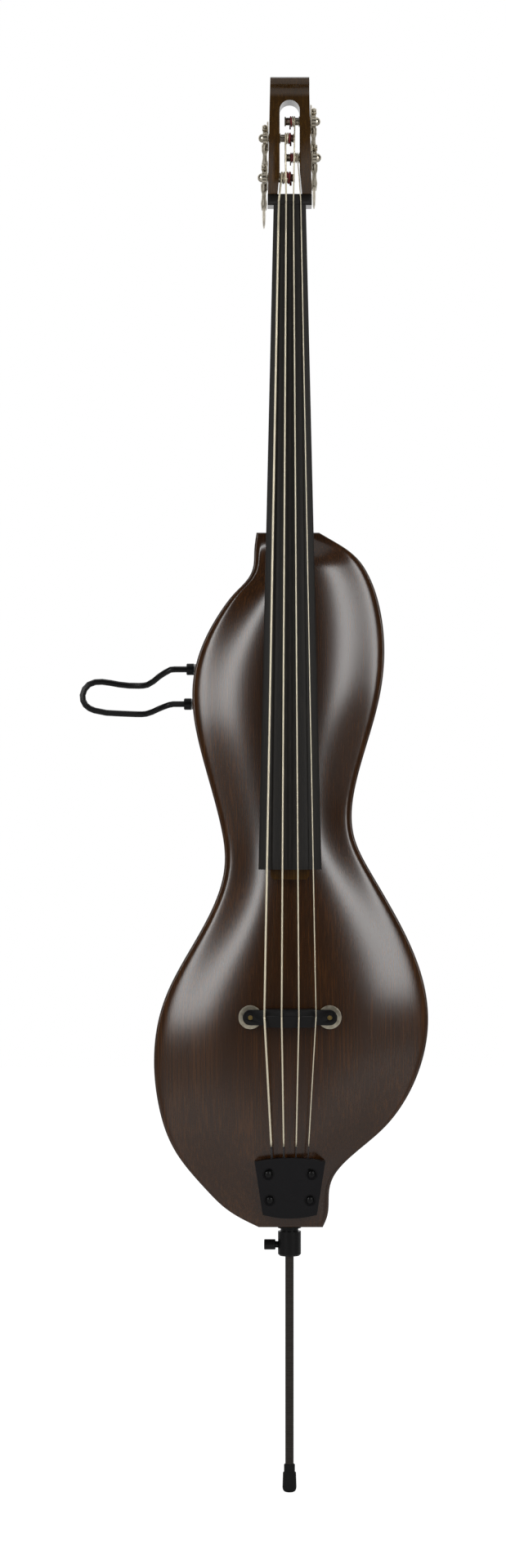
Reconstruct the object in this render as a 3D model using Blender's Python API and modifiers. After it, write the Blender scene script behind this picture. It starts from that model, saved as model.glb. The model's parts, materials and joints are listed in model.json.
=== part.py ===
"""Electric double bass standing on its endpin. Metres, +Z up, the strings face -Y.

X is 0 on the string axis, Y is 0 on the endpin axis and Z is 0 under the rubber foot.
"""

import math

import bmesh
import bpy
import numpy as np
from mathutils import Matrix, Vector

# Pieces that the exact Boolean leaves with faces of no area
SLIVERED = ("body_top", "centre_block", "rim_bass_side", "tailpiece", "tuner_post")

# Clearances
GAP = 0.0003
FINE = 0.00001
ARCH_GAP = 0.0014

# Endpin
FOOT_HEIGHT = 0.0363
FOOT_RADIUS = 0.0092
FOOT_SOLE_RADIUS = 0.0055
FOOT_SLEEVE_RADIUS = 0.0072
FOOT_FLARE_HEIGHT = 0.0253
FOOT_FLOOR = 0.008
ROD_RADIUS = 0.0055
ROD_OUT = 0.2717
ROD_LENGTH = 0.470
ROD_TRAVEL_IN = 0.250
STOP_LENGTH = 0.008
STOP_WALL = 0.0018
COLLAR_LENGTH = 0.0389
COLLAR_RADIUS = 0.0150
COLLAR_GROOVE_RADIUS = 0.0116
COLLAR_FLANGE = 0.0027
COLLAR_GROOVE = 0.0042
SCREW_HEIGHT = 0.0145
SCREW_SHANK_RADIUS = 0.0043
SCREW_KNOB_RADIUS = 0.0069
SCREW_KNOB_START = 0.0182
SCREW_KNOB_END = 0.0331
TUBE_WALL = 0.0024
TUBE_LENGTH = 0.060

# Body
BODY_LENGTH = 0.9019
BODY_WIDTH = 0.3558
BODY_DEPTH = 0.045
FACE_Y = -0.0225
TOP_THICKNESS = 0.005
BACK_THICKNESS = 0.005
RIM_WIDTH = 0.014
RIM_END = 0.020
EDGE_FLAT = 0.006
ARCH_BASE = 0.014
ARCH_PER_WIDTH = 0.11
ARCH_FULLNESS = 1.25
TAIL_RUN = 0.080
NECK_RUN = 0.055
BLOCK_HALF = 0.031
BLOCK_TAIL_HALF = 0.034
BRIDGE_BLOCK_HALF = 0.066

# Body edge: height above the body's lower end, distance from the string axis
BASS_EDGE = (
    (0.000, 0.040), (0.013, 0.066), (0.045, 0.105), (0.093, 0.145), (0.153, 0.169), (0.220, 0.176),
    (0.303, 0.1595), (0.379, 0.1185), (0.438, 0.091), (0.475, 0.0842), (0.522, 0.0897), (0.618, 0.1153),
    (0.697, 0.1263), (0.753, 0.1145), (0.803, 0.0875), (0.824, 0.071), (0.840, 0.0558), (0.858, 0.0473),
    (0.878, 0.046), (0.902, 0.043),
)
TREBLE_EDGE = (
    (0.000, 0.043), (0.013, 0.0485), (0.048, 0.0515), (0.069, 0.059), (0.092, 0.080), (0.125, 0.1185),
    (0.157, 0.145), (0.213, 0.171), (0.268, 0.1798), (0.323, 0.1725), (0.379, 0.151), (0.458, 0.107),
    (0.503, 0.085), (0.538, 0.0807), (0.570, 0.0848), (0.633, 0.102), (0.697, 0.1184), (0.745, 0.123),
    (0.803, 0.1173), (0.848, 0.1018), (0.881, 0.073), (0.895, 0.050), (0.902, 0.038),
)

# Strings, lowest first
STRING_LENGTH = 1.050
BRIDGE_RISE = 0.2785
NUT_Y = -0.045
BRIDGE_Y = -0.100
CROWN_RADIUS = 0.070
STRING_NAMES = ("string_e", "string_a", "string_d", "string_g")
STRING_RADII = (0.0014, 0.0011, 0.0009, 0.0007)
NUT_SPACING = 0.00945
BRIDGE_SPACING = 0.0220
TAIL_SPACING = 0.0153
BALL_RADIUS = 0.0030
BALL_LENGTH = 0.0060
BALL_SINK = 0.0035
TURN_GAP = 0.0006
TURN_POINTS = 20
TURNS = (3, 2, 2, 4)
TURN_START = (-0.0104, -0.0055, 0.0067, 0.0101)
STRING_TAIL = 0.009

# Neck and fingerboard
BOARD_TO_BRIDGE = 0.1871
BOARD_NUT_WIDTH = 0.0418
BOARD_END_WIDTH = 0.0811
BOARD_NUT_Y = -0.0426
BOARD_END_Y = -0.0805
BOARD_NUT_THICKNESS = 0.009
BOARD_END_THICKNESS = 0.017
NECK_HALF_AT_NUT = 0.0205
NECK_HALF_AT_BODY = 0.0251
NECK_DEPTH_AT_NUT = 0.0250
NECK_DEPTH_AT_BODY = 0.0300
HEEL_BACK_Y = 0.014
HEEL_RISE = 0.060
TENON_BACK_Y = -0.008
TENON_BELOW_BOARD = 0.013
NECK_ROUNDING = 0.017
STIFFENER_HALF = 0.004
STIFFENER_DEPTH = 0.008
STIFFENER_END = 0.050

# Head, heights above the nut line
NUT_BELOW = 0.0038
NUT_ABOVE = 0.0104
NUT_HALF = 0.0286
NUT_BACK_Y = -0.0342
HEAD_TOP = 0.1623
HEAD_HALF_LOW = 0.0286
HEAD_HALF_HIGH = 0.0252
SLOT_HALF = 0.013
SLOT_TOP = 0.1343
SLOT_FLARE = 0.0028
SLOT_FLARE_RUN = 0.030

# Head in side view: Y and the height above the nut line
HEAD_PROFILE = (
    (-0.0339, -0.0038), (-0.0339, 0.0107), (-0.0440, 0.0107), (-0.0256, 0.1270), (-0.0246, 0.1370),
    (-0.0275, 0.1460), (-0.0335, 0.1508), (-0.0380, 0.1524), (-0.0398, 0.1560), (-0.0384, 0.1602),
    (-0.0335, 0.1623), (-0.0100, 0.1612), (0.0040, 0.1565), (0.0120, 0.1480), (0.0148, 0.1360),
    (0.0138, 0.1180), (-0.0010, 0.0150), (-0.0030, -0.0038),
)

# Tuning machines, the post of the lowest string first: side, Y of the post, height above the nut line
POSTS = ((-1, -0.0240, 0.0333), (-1, -0.0140, 0.0863), (1, -0.0105, 0.1087), (1, -0.0180, 0.0603))
POST_RADIUS = 0.0050
POST_REACH = 0.0195
POST_FLARE_RADIUS = 0.0066
POST_FLARE = 0.0022
JOURNAL_RADIUS = 0.0040
BUSHING_RADIUS = 0.0062
BUSHING_FLANGE_RADIUS = 0.0075
BUSHING_FLANGE = 0.0010
PLATE_THICKNESS = 0.0015
PLATE_UP = 0.016
PLATE_DOWN = 0.0145
PLATE_FRONT = 0.010
PLATE_BACK = 0.018
PLATE_CORNER = 0.004
GEAR_TEETH = 16
GEAR_RADIUS = 0.0080
GEAR_ROOT_RADIUS = 0.0066
GEAR_THICKNESS = 0.0050
DOME_RADIUS = 0.0060
DOME_HEIGHT = 0.0062
WORM_RADIUS = 0.0027
SHAFT_RADIUS = 0.0020
LUG_INNER = 0.0068
LUG_THICKNESS = 0.0030
LUG_HALF = 0.0045
KEY_TILT = math.radians(42)
KEY_HUB_RADIUS = 0.0042
KEY_HUB_END = 0.046
KEY_END = 0.084
KEY_HALF_WIDTH = 0.0135
KEY_HALF_THICKNESS = 0.0024

# Bridge
STUD_X = 0.051
STUD_BELOW_RIDGE = 0.0032
STUD_RADIUS = 0.0030
STUD_DEPTH = 0.030
WHEEL_RADIUS = 0.0154
WHEEL_THICKNESS = 0.0045
WHEEL_LIFT = 0.0060
LUG_HEIGHT = 0.0087
LUG_RADIUS = 0.0098
BEAM_HALF_LENGTH = 0.0330
BEAM_HALF_HEIGHT = 0.0117
BEAM_SHOULDER = 0.0085
RIDGE_HALF = 0.0012
PICKUP_HALF_LENGTH = 0.025
PICKUP_HALF_WIDTH = 0.002
PICKUP_THICKNESS = 0.002

# Tailpiece, heights above the body's lower end
TAIL_BOTTOM = 0.0182
TAIL_TOP = 0.0893
TAIL_CROWN = 0.0050
TAIL_HALF_LOW = 0.0350
TAIL_HALF_HIGH = 0.0455
TAIL_FRONT_LOW_Y = -0.0390
TAIL_FRONT_HIGH_Y = -0.0620
TAIL_STRING_Y = -0.0550
TAIL_SCREWS = ((0.0279, 0.0728), (0.0260, 0.0381))
TAIL_SCREW_HEAD = 0.0048
TAIL_SCREW_HEIGHT = 0.0028
TAIL_SCREW_SHANK = 0.0022
TAIL_SCREW_LENGTH = 0.026
TAIL_RECESS_RADIUS = 0.0080
TAIL_RECESS_DEPTH = 0.0040

# Side rest: X, Y and height above the body's lower end along the bent bar
REST_RADIUS = 0.0040
REST_INSERT = 0.026
REST_UPPER = 0.7250
REST_LOWER = 0.6797
REST_ROUTE = (
    (-0.1549, 0.000, 0.7245), (-0.1700, 0.010, 0.7160), (-0.1855, 0.022, 0.7055), (-0.1966, 0.027, 0.7042),
    (-0.2234, 0.029, 0.7060), (-0.2454, 0.029, 0.7095), (-0.2625, 0.029, 0.7060), (-0.2708, 0.029, 0.6920),
    (-0.2670, 0.029, 0.6790), (-0.2552, 0.029, 0.6720), (-0.2234, 0.029, 0.6680), (-0.1990, 0.027, 0.6670),
    (-0.1868, 0.022, 0.6675), (-0.1710, 0.010, 0.6735), (-0.1574, 0.000, 0.6785),
)
REST_BENDS = 2
SOCKET_RADIUS = 0.0070
SOCKET_PROUD = 0.0014
LOCK_NUT_RADIUS = 0.0076
LOCK_NUT_LENGTH = 0.0096

# Controls on the back, heights above the body's lower end
COVER_CENTRE = (-0.088, 0.183)
COVER_HALF = (0.042, 0.055)
COVER_THICKNESS = 0.002
COVER_LAP = 0.007
KNOB_OFFSETS = (("volume", 0.019, 0.026), ("tone", -0.019, 0.026))
KNOB_RADIUS = 0.0100
KNOB_HEIGHT = 0.0150
POT_RADIUS = 0.0080
POT_DEPTH = 0.0095
POT_BUSHING_RADIUS = 0.0035
POT_BUSHING = 0.0045
POT_SHAFT_RADIUS = 0.0030
POT_SHAFT = 0.0100
BOARD_HALF = (0.030, 0.018)
BOARD_THICKNESS = 0.0016
JACK_OFFSET = (0.0, -0.027)
JACK_BORE_RADIUS = 0.0033
JACK_RADIUS = 0.0070
JACK_BUSHING_RADIUS = 0.0047
JACK_DEPTH = 0.020
JACK_PROUD = 0.0030
BATTERY_CENTRE = (-0.062, 0.358)
BATTERY_HALF = (0.01325, 0.02425)
BATTERY_THICKNESS = 0.0175
BAY_WALL = 0.0015
DOOR_HALF = (0.018, 0.031)
DOOR_THICKNESS = 0.002
DOOR_BARREL = 0.0016

# Places worked out from the sizes above
COLLAR_BOTTOM_Z = FOOT_HEIGHT + ROD_OUT
BODY_Z = COLLAR_BOTTOM_Z + COLLAR_LENGTH + GAP
BODY_TOP_Z = BODY_Z + BODY_LENGTH
RIDGE_Z = BODY_Z + BRIDGE_RISE
NUT_Z = RIDGE_Z + STRING_LENGTH
BOARD_END_Z = RIDGE_Z + BOARD_TO_BRIDGE
BOARD_TOP_Z = NUT_Z - NUT_BELOW - GAP
STUD_Z = RIDGE_Z - STUD_BELOW_RIDGE
BACK_Y = FACE_Y + BODY_DEPTH
RIM_FRONT_Y = FACE_Y + TOP_THICKNESS + GAP
RIM_BACK_Y = BACK_Y - BACK_THICKNESS - GAP
WORM_OFFSET = GEAR_RADIUS + WORM_RADIUS + GAP

# Finishes: colour, roughness, metallic
FINISHES = {
    "lacquered_wood": ((0.075, 0.032, 0.014), 0.12, 0.0),
    "bare_wood": ((0.45, 0.29, 0.15), 0.60, 0.0),
    "ebony": ((0.015, 0.014, 0.013), 0.40, 0.0),
    "black_metal": ((0.012, 0.012, 0.012), 0.38, 0.6),
    "nickel": ((0.70, 0.67, 0.60), 0.25, 1.0),
    "steel": ((0.42, 0.42, 0.42), 0.35, 1.0),
    "wound_steel": ((0.62, 0.58, 0.46), 0.35, 1.0),
    "rod_steel": ((0.045, 0.042, 0.040), 0.32, 0.9),
    "rubber": ((0.012, 0.012, 0.012), 0.75, 0.0),
    "black_plastic": ((0.015, 0.015, 0.015), 0.45, 0.0),
    "circuit_board": ((0.02, 0.11, 0.05), 0.55, 0.0),
    "battery_case": ((0.05, 0.05, 0.06), 0.40, 0.3),
}

PARTS = "electric_double_bass"
CUTTERS = "cutters"


# Scene, materials and collections

def clear_scene():
    for item in list(bpy.data.objects):
        bpy.data.objects.remove(item, do_unlink=True)


def collection(name):
    found = bpy.data.collections.get(name)
    if found is None:
        found = bpy.data.collections.new(name)
        bpy.context.scene.collection.children.link(found)
    return found


def material(finish):
    found = bpy.data.materials.get(finish)
    if found is None:
        colour, roughness, metallic = FINISHES[finish]
        found = bpy.data.materials.new(finish)
        found.use_nodes = True
        shader = found.node_tree.nodes["Principled BSDF"]
        shader.inputs["Base Color"].default_value = (*colour, 1.0)
        shader.inputs["Roughness"].default_value = roughness
        shader.inputs["Metallic"].default_value = metallic
    return found


def add_object(name, data, finish):
    """Links a new object; one with no finish is a cutter, which isn't part of the instrument."""
    thing = bpy.data.objects.new(name, data)
    if finish is None:
        thing.hide_render = True
        thing.display_type = "WIRE"
        collection(CUTTERS).objects.link(thing)
    else:
        own = material(finish).copy()
        own.name = name
        data.materials.append(own)
        collection(PARTS).objects.link(thing)
    return thing


# Geometry helpers

def mesh_object(name, bm, finish, smooth=None):
    bmesh.ops.recalc_face_normals(bm, faces=bm.faces)
    data = bpy.data.meshes.new(name)
    bm.to_mesh(data)
    bm.free()
    if smooth is not None:
        data.shade_smooth()
        data.set_sharp_from_angle(angle=math.radians(smooth))
    return add_object(name, data, finish)


def box(name, low, high, finish, bevel=0.0):
    low, high = Vector(low), Vector(high)
    bm = bmesh.new()
    bmesh.ops.create_cube(bm, size=1.0)
    bmesh.ops.scale(bm, vec=high - low, verts=bm.verts)
    thing = mesh_object(name, bm, finish)
    thing.location = (low + high) / 2
    if bevel:
        round_edges(thing, bevel)
    return thing


def round_edges(thing, width, segments=1, angle=50):
    edge = thing.modifiers.new("edges", "BEVEL")
    edge.width = width
    edge.segments = segments
    edge.limit_method = "ANGLE"
    edge.angle_limit = math.radians(angle)


def cylinder(name, radius, start, end, finish, segments=20):
    start, end = Vector(start), Vector(end)
    along = end - start
    bm = bmesh.new()
    bmesh.ops.create_cone(
        bm, cap_ends=True, segments=segments, radius1=radius, radius2=radius, depth=along.length
    )
    thing = mesh_object(name, bm, finish, smooth=40)
    thing.location = (start + end) / 2
    thing.rotation_mode = "QUATERNION"
    thing.rotation_quaternion = Vector((0, 0, 1)).rotation_difference(along)
    return thing


def turned(name, profile, base, axis, finish, steps=24, ring=False):
    """Turns (radius, height) points, listed from the top down, about axis through base."""
    bm = bmesh.new()
    points = [bm.verts.new((radius, 0, height)) for radius, height in profile]
    for first, second in zip(points, points[1:]):
        bm.edges.new((first, second))
    if ring:
        bm.edges.new((points[-1], points[0]))
    data = bpy.data.meshes.new(name)
    bm.to_mesh(data)
    bm.free()
    thing = add_object(name, data, finish)
    thing.location = base
    thing.rotation_mode = "QUATERNION"
    thing.rotation_quaternion = Vector((0, 0, 1)).rotation_difference(Vector(axis))
    turn = thing.modifiers.new("turn", "SCREW")
    turn.axis = "Z"
    turn.angle = math.tau
    turn.steps = steps
    turn.render_steps = steps
    turn.use_merge_vertices = True
    turn.merge_threshold = FINE
    turn.use_smooth_shade = True
    return thing


def as_mesh(thing):
    """Replaces a curve object by a welded mesh in the same place."""
    bpy.context.view_layer.update()
    graph = bpy.context.evaluated_depsgraph_get()
    data = bpy.data.meshes.new_from_object(thing.evaluated_get(graph))
    bm = bmesh.new()
    bm.from_mesh(data)
    bmesh.ops.remove_doubles(bm, verts=bm.verts, dist=FINE)
    bmesh.ops.recalc_face_normals(bm, faces=bm.faces)
    bm.to_mesh(data)
    bm.free()
    name, home, place = thing.name, thing.users_collection[0], thing.matrix_world.copy()
    hidden, display = thing.hide_render, thing.display_type
    bpy.data.objects.remove(thing, do_unlink=True)
    fresh = bpy.data.objects.new(name, data)
    fresh.matrix_world = place
    fresh.hide_render = hidden
    fresh.display_type = display
    home.objects.link(fresh)
    return fresh


def plate(name, outline, normal, middle, thickness, finish):
    """A flat piece: a closed outline of 2-D points, thickened about the plane through middle."""
    curve = bpy.data.curves.new(name, "CURVE")
    curve.dimensions = "2D"
    curve.fill_mode = "BOTH"
    curve.extrude = thickness / 2
    spline = curve.splines.new("POLY")
    spline.points.add(len(outline) - 1)
    for point, (across, up) in zip(spline.points, outline):
        point.co = (across, up, 0, 1)
    spline.use_cyclic_u = True
    thing = add_object(name, curve, finish)
    if normal == "Y":
        turn = Matrix(((1, 0, 0), (0, 0, -1), (0, 1, 0)))
    else:
        turn = Matrix(((0, 0, 1), (1, 0, 0), (0, 1, 0)))
    thing.matrix_world = Matrix.Translation(middle) @ turn.to_4x4()
    return as_mesh(thing)


def tube(name, points, radius, finish, resolution=2, swell=None):
    """A bar or wire along points; swell gives each point's share of the radius."""
    curve = bpy.data.curves.new(name, "CURVE")
    curve.dimensions = "3D"
    curve.bevel_depth = radius
    curve.bevel_resolution = resolution
    curve.use_fill_caps = True
    spline = curve.splines.new("POLY")
    spline.points.add(len(points) - 1)
    for index, (point, place) in enumerate(zip(spline.points, points)):
        point.co = (*place, 1)
        point.radius = swell[index] if swell else 1.0
    return add_object(name, curve, finish)


def loft(name, rings, finish, smooth=40):
    """A closed solid through rings of equally many points."""
    bm = bmesh.new()
    loops = [[bm.verts.new(point) for point in ring] for ring in rings]
    for lower, upper in zip(loops, loops[1:]):
        for index in range(len(lower)):
            after = (index + 1) % len(lower)
            bm.faces.new((lower[index], lower[after], upper[after], upper[index]))
    bm.faces.new(loops[0])
    bm.faces.new(loops[-1])
    return mesh_object(name, bm, finish, smooth)


def slab(name, across, along, place, front, back, finish, smooth=40):
    """A closed solid between two surfaces y(x, z), on a grid that place turns into x and z."""
    bm = bmesh.new()
    grid = [[place(u, v) for u in across] for v in along]
    sheets = [
        [[bm.verts.new((x, surface(x, z), z)) for x, z in row] for row in grid] for surface in (front, back)
    ]
    for sheet in sheets:
        for lower, upper in zip(sheet, sheet[1:]):
            for index in range(len(lower) - 1):
                bm.faces.new((lower[index], lower[index + 1], upper[index + 1], upper[index]))
    rims = [border(sheet) for sheet in sheets]
    count = len(rims[0])
    for index in range(count):
        after = (index + 1) % count
        bm.faces.new((rims[0][index], rims[0][after], rims[1][after], rims[1][index]))
    return mesh_object(name, bm, finish, smooth)


def border(sheet):
    """The outer points of a grid, in order."""
    right = [row[-1] for row in sheet[1:-1]]
    left = [row[0] for row in sheet[1:-1]]
    return sheet[0] + right + sheet[-1][::-1] + left[::-1]


def cut(thing, *cutters):
    for cutter in cutters:
        change(thing, cutter, "DIFFERENCE")


def join(thing, *others):
    for other in others:
        change(thing, other, "UNION")


def change(thing, other, operation):
    step = thing.modifiers.new(other.name, "BOOLEAN")
    step.operation = operation
    step.object = other
    step.solver = "MANIFOLD" if thing.name.startswith(SLIVERED) else "EXACT"


def rounded_rectangle(centre, half, corner, steps=4):
    """Outline points of a rectangle with arcs for corners."""
    points = []
    for quarter, (right, up) in enumerate(((1, 1), (-1, 1), (-1, -1), (1, -1))):
        for step in range(steps + 1):
            angle = (quarter + step / steps) * math.pi / 2
            points.append((
                centre[0] + right * (half[0] - corner) + corner * math.cos(angle),
                centre[1] + up * (half[1] - corner) + corner * math.sin(angle),
            ))
    return points


def smooth_curve(stations):
    """A natural cubic spline through (position, value) stations."""
    at, value = np.array(stations).T
    step = np.diff(at)
    count = len(at)
    system = np.eye(count)
    right = np.zeros(count)
    for index in range(1, count - 1):
        before, after = step[index - 1], step[index]
        system[index, index - 1:index + 2] = before, 2 * (before + after), after
        rise = (value[index + 1] - value[index]) / after - (value[index] - value[index - 1]) / before
        right[index] = 6 * rise
    bend = np.linalg.solve(system, right)

    def evaluate(position):
        index = int(np.clip(np.searchsorted(at, position) - 1, 0, count - 2))
        width = step[index]
        low, high = (at[index + 1] - position) / width, (position - at[index]) / width
        curved = (low**3 - low) * bend[index] + (high**3 - high) * bend[index + 1]
        return float(low * value[index] + high * value[index + 1] + curved * width**2 / 6)

    return evaluate


def mix(low, high, share):
    return low + (high - low) * share


# Body shape

BASS_CURVE = smooth_curve(BASS_EDGE)
TREBLE_CURVE = smooth_curve(TREBLE_EDGE)
WIDEN = BODY_WIDTH / (max(x for z, x in BASS_EDGE) + max(x for z, x in TREBLE_EDGE))
STRETCH = BODY_LENGTH / BASS_EDGE[-1][0]


def body_edges(z):
    """Distances from the string axis to the bass and the treble edge of the body."""
    station = (z - BODY_Z) / STRETCH
    return WIDEN * BASS_CURVE(station), WIDEN * TREBLE_CURVE(station)


def body_rows():
    """Heights at which the body's edge is drawn, close together at its ends."""
    near = [0.0, 0.0015, 0.005, 0.010, 0.017, 0.026]
    middle = np.linspace(0.040, BODY_LENGTH - 0.040, 30)
    return [BODY_Z + h for h in (*near, *middle, *(BODY_LENGTH - n for n in reversed(near)))]


def end_fall(z):
    """How far the arch has risen at this height: 0 at the body's ends, 1 between them."""
    share = 1.0
    for distance, run in ((z - BODY_Z, TAIL_RUN), (BODY_TOP_Z - z, NECK_RUN)):
        climb = min(max((distance - EDGE_FLAT) / run, 0.0), 1.0)
        share *= 1 - (1 - climb) ** 2.2
    return share


def face(x, z):
    """Y of the arched face of the body."""
    bass, treble = body_edges(z)
    crest = (ARCH_BASE + ARCH_PER_WIDTH * (bass + treble) / 2) * end_fall(z)
    reach = (treble if x > 0 else bass) - EDGE_FLAT
    share = min(abs(x) / reach, 1.0)
    return FACE_Y - crest * (1 - share**2) ** ARCH_FULLNESS


def under_face(x, z):
    return face(x, z) + TOP_THICKNESS


ACROSS = (-1.0, -0.95, -0.86, -0.70, -0.50, -0.25, 0.0, 0.25, 0.50, 0.70, 0.86, 0.95, 1.0)


def on_body(u, z):
    bass, treble = body_edges(z)
    return u * (treble if u > 0 else bass), z


def body_outline():
    rows = body_rows()
    treble = [(body_edges(z)[1], z) for z in rows]
    bass = [(-body_edges(z)[0], z) for z in reversed(rows)]
    return treble + bass


def inner_edge(z, side):
    """Distance from the string axis to the inner wall of the rim, which is RIM_WIDTH thick."""
    step = 0.001
    slope = (body_edges(z + step)[side] - body_edges(z - step)[side]) / (2 * step)
    return body_edges(z)[side] - RIM_WIDTH * math.hypot(1, slope)


def rim_outline(side):
    """One half of the rim: the outer edge up, then the inner edge down."""
    sign = (-1, 1)[side]
    rows = body_rows()
    low, high = BODY_Z + RIM_END, BODY_TOP_Z - RIM_END
    inside = [low, *(z for z in rows if low + 0.004 < z < high - 0.004), high]
    outer = [(sign * GAP / 2, BODY_Z), *((sign * body_edges(z)[side], z) for z in rows)]
    inner = [(sign * inner_edge(z, side), z) for z in reversed(inside)]
    return outer + [(sign * GAP / 2, BODY_TOP_Z), (sign * GAP / 2, high)] + inner + [(sign * GAP / 2, low)]


def block_half(z):
    """Half the width of the centre block: wider at the tail and under the bridge studs, inside the rim."""
    stations = (
        (BODY_Z, BLOCK_TAIL_HALF), (BODY_Z + TAIL_TOP + 0.010, BLOCK_TAIL_HALF),
        (BODY_Z + TAIL_TOP + 0.030, BLOCK_HALF), (STUD_Z - 0.040, BLOCK_HALF),
        (STUD_Z - 0.016, BRIDGE_BLOCK_HALF), (STUD_Z + 0.016, BRIDGE_BLOCK_HALF),
        (STUD_Z + 0.040, BLOCK_HALF), (BODY_TOP_Z, BLOCK_HALF),
    )
    heights, halves = zip(*stations)
    room = min(inner_edge(z, side) for side in (0, 1)) - GAP
    return min(float(np.interp(z, heights, halves)), room)


def block_rows():
    low, high = BODY_Z + RIM_END + GAP, BODY_TOP_Z - RIM_END - GAP
    bends = [
        BODY_Z + TAIL_TOP + 0.010, BODY_Z + TAIL_TOP + 0.030, STUD_Z - 0.040, STUD_Z - 0.016,
        STUD_Z + 0.016, STUD_Z + 0.040,
    ]
    rows = [z for z in body_rows() if low + 0.004 < z < high - 0.004]
    return sorted([low, high, *bends, *(z for z in rows if min(abs(z - b) for b in bends) > 0.008)])


# Lines that the strings, the neck and the fingerboard share

def crown(x):
    return x**2 / (2 * CROWN_RADIUS)


def board_share(z):
    return (BOARD_TOP_Z - z) / (BOARD_TOP_Z - BOARD_END_Z)


def board_half(z):
    return mix(BOARD_NUT_WIDTH, BOARD_END_WIDTH, board_share(z)) / 2


def board_face(z):
    return mix(BOARD_NUT_Y, BOARD_END_Y, board_share(z))


def board_back(z):
    return board_face(z) + mix(BOARD_NUT_THICKNESS, BOARD_END_THICKNESS, board_share(z))


def string_x(index, spacing):
    return (index - 1.5) * spacing


def post_place(index):
    side, y, height = POSTS[index]
    return side, y, NUT_Z + height


# Body pieces

def make_body():
    top = slab("body_top", ACROSS, body_rows(), on_body, face, under_face, "lacquered_wood")
    rims = []
    for side, name in enumerate(("rim_bass_side", "rim_treble_side")):
        middle = (0, (RIM_FRONT_Y + RIM_BACK_Y) / 2, 0)
        rims.append(plate(name, rim_outline(side), "Y", middle, RIM_BACK_Y - RIM_FRONT_Y, "lacquered_wood"))
    back = plate(
        "body_back", body_outline(), "Y", (0, BACK_Y - BACK_THICKNESS / 2, 0), BACK_THICKNESS,
        "lacquered_wood"
    )

    def across_block(u, z):
        return u * block_half(z), z

    def under_top(x, z):
        return under_face(x, z) + ARCH_GAP

    def on_back(x, z):
        return RIM_BACK_Y

    block = slab(
        "centre_block", (-1.0, -0.5, 0.0, 0.5, 1.0), block_rows(), across_block, under_top, on_back,
        "bare_wood"
    )
    return top, rims, back, block


def fit_neck(top, rims, block):
    """The neck's extension lies in a slot of the top, the rims and the centre block."""
    slot = loft("neck_slot", tenon_rings(GAP, BODY_TOP_Z + 0.012), None)
    cut(top, slot)
    cut(block, slot)
    for rim in rims:
        cut(rim, slot)


def fit_endpin(rims, block):
    tube_hole = cylinder(
        "tube_hole", ROD_RADIUS + TUBE_WALL + 2 * GAP, (0, 0, BODY_Z - 0.01),
        (0, 0, BODY_Z + TUBE_LENGTH + GAP), None
    )
    stop_top = FOOT_FLOOR + GAP + ROD_LENGTH + ROD_TRAVEL_IN
    rod_hole = cylinder(
        "rod_hole", ROD_RADIUS + STOP_WALL + 2 * GAP, (0, 0, BODY_Z), (0, 0, stop_top + 0.012), None
    )
    cut(block, tube_hole, rod_hole)
    for rim in rims:
        cut(rim, tube_hole)


# Neck, fingerboard and nut

def neck_ring(z, half, back, grow=0.0):
    """A D-shaped section of the neck, flat under the fingerboard."""
    half, back = half + grow, back + grow
    front = board_back(z) + GAP - grow
    side = back - min(NECK_ROUNDING, 0.65 * (back - front))
    ring = [(-half, front, z), (half, front, z)]
    for step in range(11):
        angle = math.pi * step / 10
        ring.append((half * math.cos(angle), side + (back - side) * math.sin(angle), z))
    return ring


def tenon_rings(grow, high):
    """Sections of the part of the neck that runs on under the fingerboard, into the body."""
    low = BOARD_END_Z - TENON_BELOW_BOARD
    narrow = mix(NECK_HALF_AT_NUT, NECK_HALF_AT_BODY, 0.2)
    stations = ((high, NECK_HALF_AT_BODY), (low + 0.005, NECK_HALF_AT_BODY), (low - grow, narrow))
    return [neck_ring(z, half, TENON_BACK_Y, grow) for z, half in stations]


def make_neck():
    heel_top = BODY_TOP_Z + HEEL_RISE
    stations = []
    for z in (NUT_Z + NUT_ABOVE, BOARD_TOP_Z, mix(BOARD_TOP_Z, heel_top, 0.5), heel_top):
        share = (BOARD_TOP_Z - z) / (BOARD_TOP_Z - heel_top)
        half = mix(NECK_HALF_AT_NUT, NECK_HALF_AT_BODY, share)
        stations.append((z, half, board_back(z) + mix(NECK_DEPTH_AT_NUT, NECK_DEPTH_AT_BODY, share)))
    start_back = stations[-1][2]
    for share in (0.35, 0.6, 0.8, 0.93, 1.0):
        curve = 1 - math.sqrt(1 - share**2)
        height = mix(heel_top, BODY_TOP_Z + 2 * GAP, share)
        stations.append((height, NECK_HALF_AT_BODY, mix(start_back, HEEL_BACK_Y, curve)))
    rings = [neck_ring(*station) for station in stations] + tenon_rings(0.0, BODY_TOP_Z + GAP)
    neck = loft("neck", rings, "lacquered_wood")
    join(neck, make_head())
    slot = stadium_slot()
    cut(neck, slot)
    for index in range(4):
        side, y, z = post_place(index)
        cut(neck, cylinder(
            f"bushing_hole_{index + 1}", BUSHING_RADIUS + GAP, (0, y, z), (side * 2 * HEAD_HALF_LOW, y, z),
            None
        ))
    cut(neck, stiffener("stiffener_groove", GAP, None))
    stiffener("stiffening_rod", 0.0, "steel")
    return neck


def make_head():
    """The head in side view, thickened and then narrowed towards its top."""
    outline = [(y, NUT_Z + height) for y, height in HEAD_PROFILE]
    head = plate("head", outline, "X", (0, 0, 0), 2 * HEAD_HALF_LOW, None)
    for point in head.data.vertices:
        share = (point.co.y - NUT_Z) / HEAD_TOP
        point.co.z *= mix(HEAD_HALF_LOW, HEAD_HALF_HIGH, min(max(share, 0), 1)) / HEAD_HALF_LOW
    return head


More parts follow.
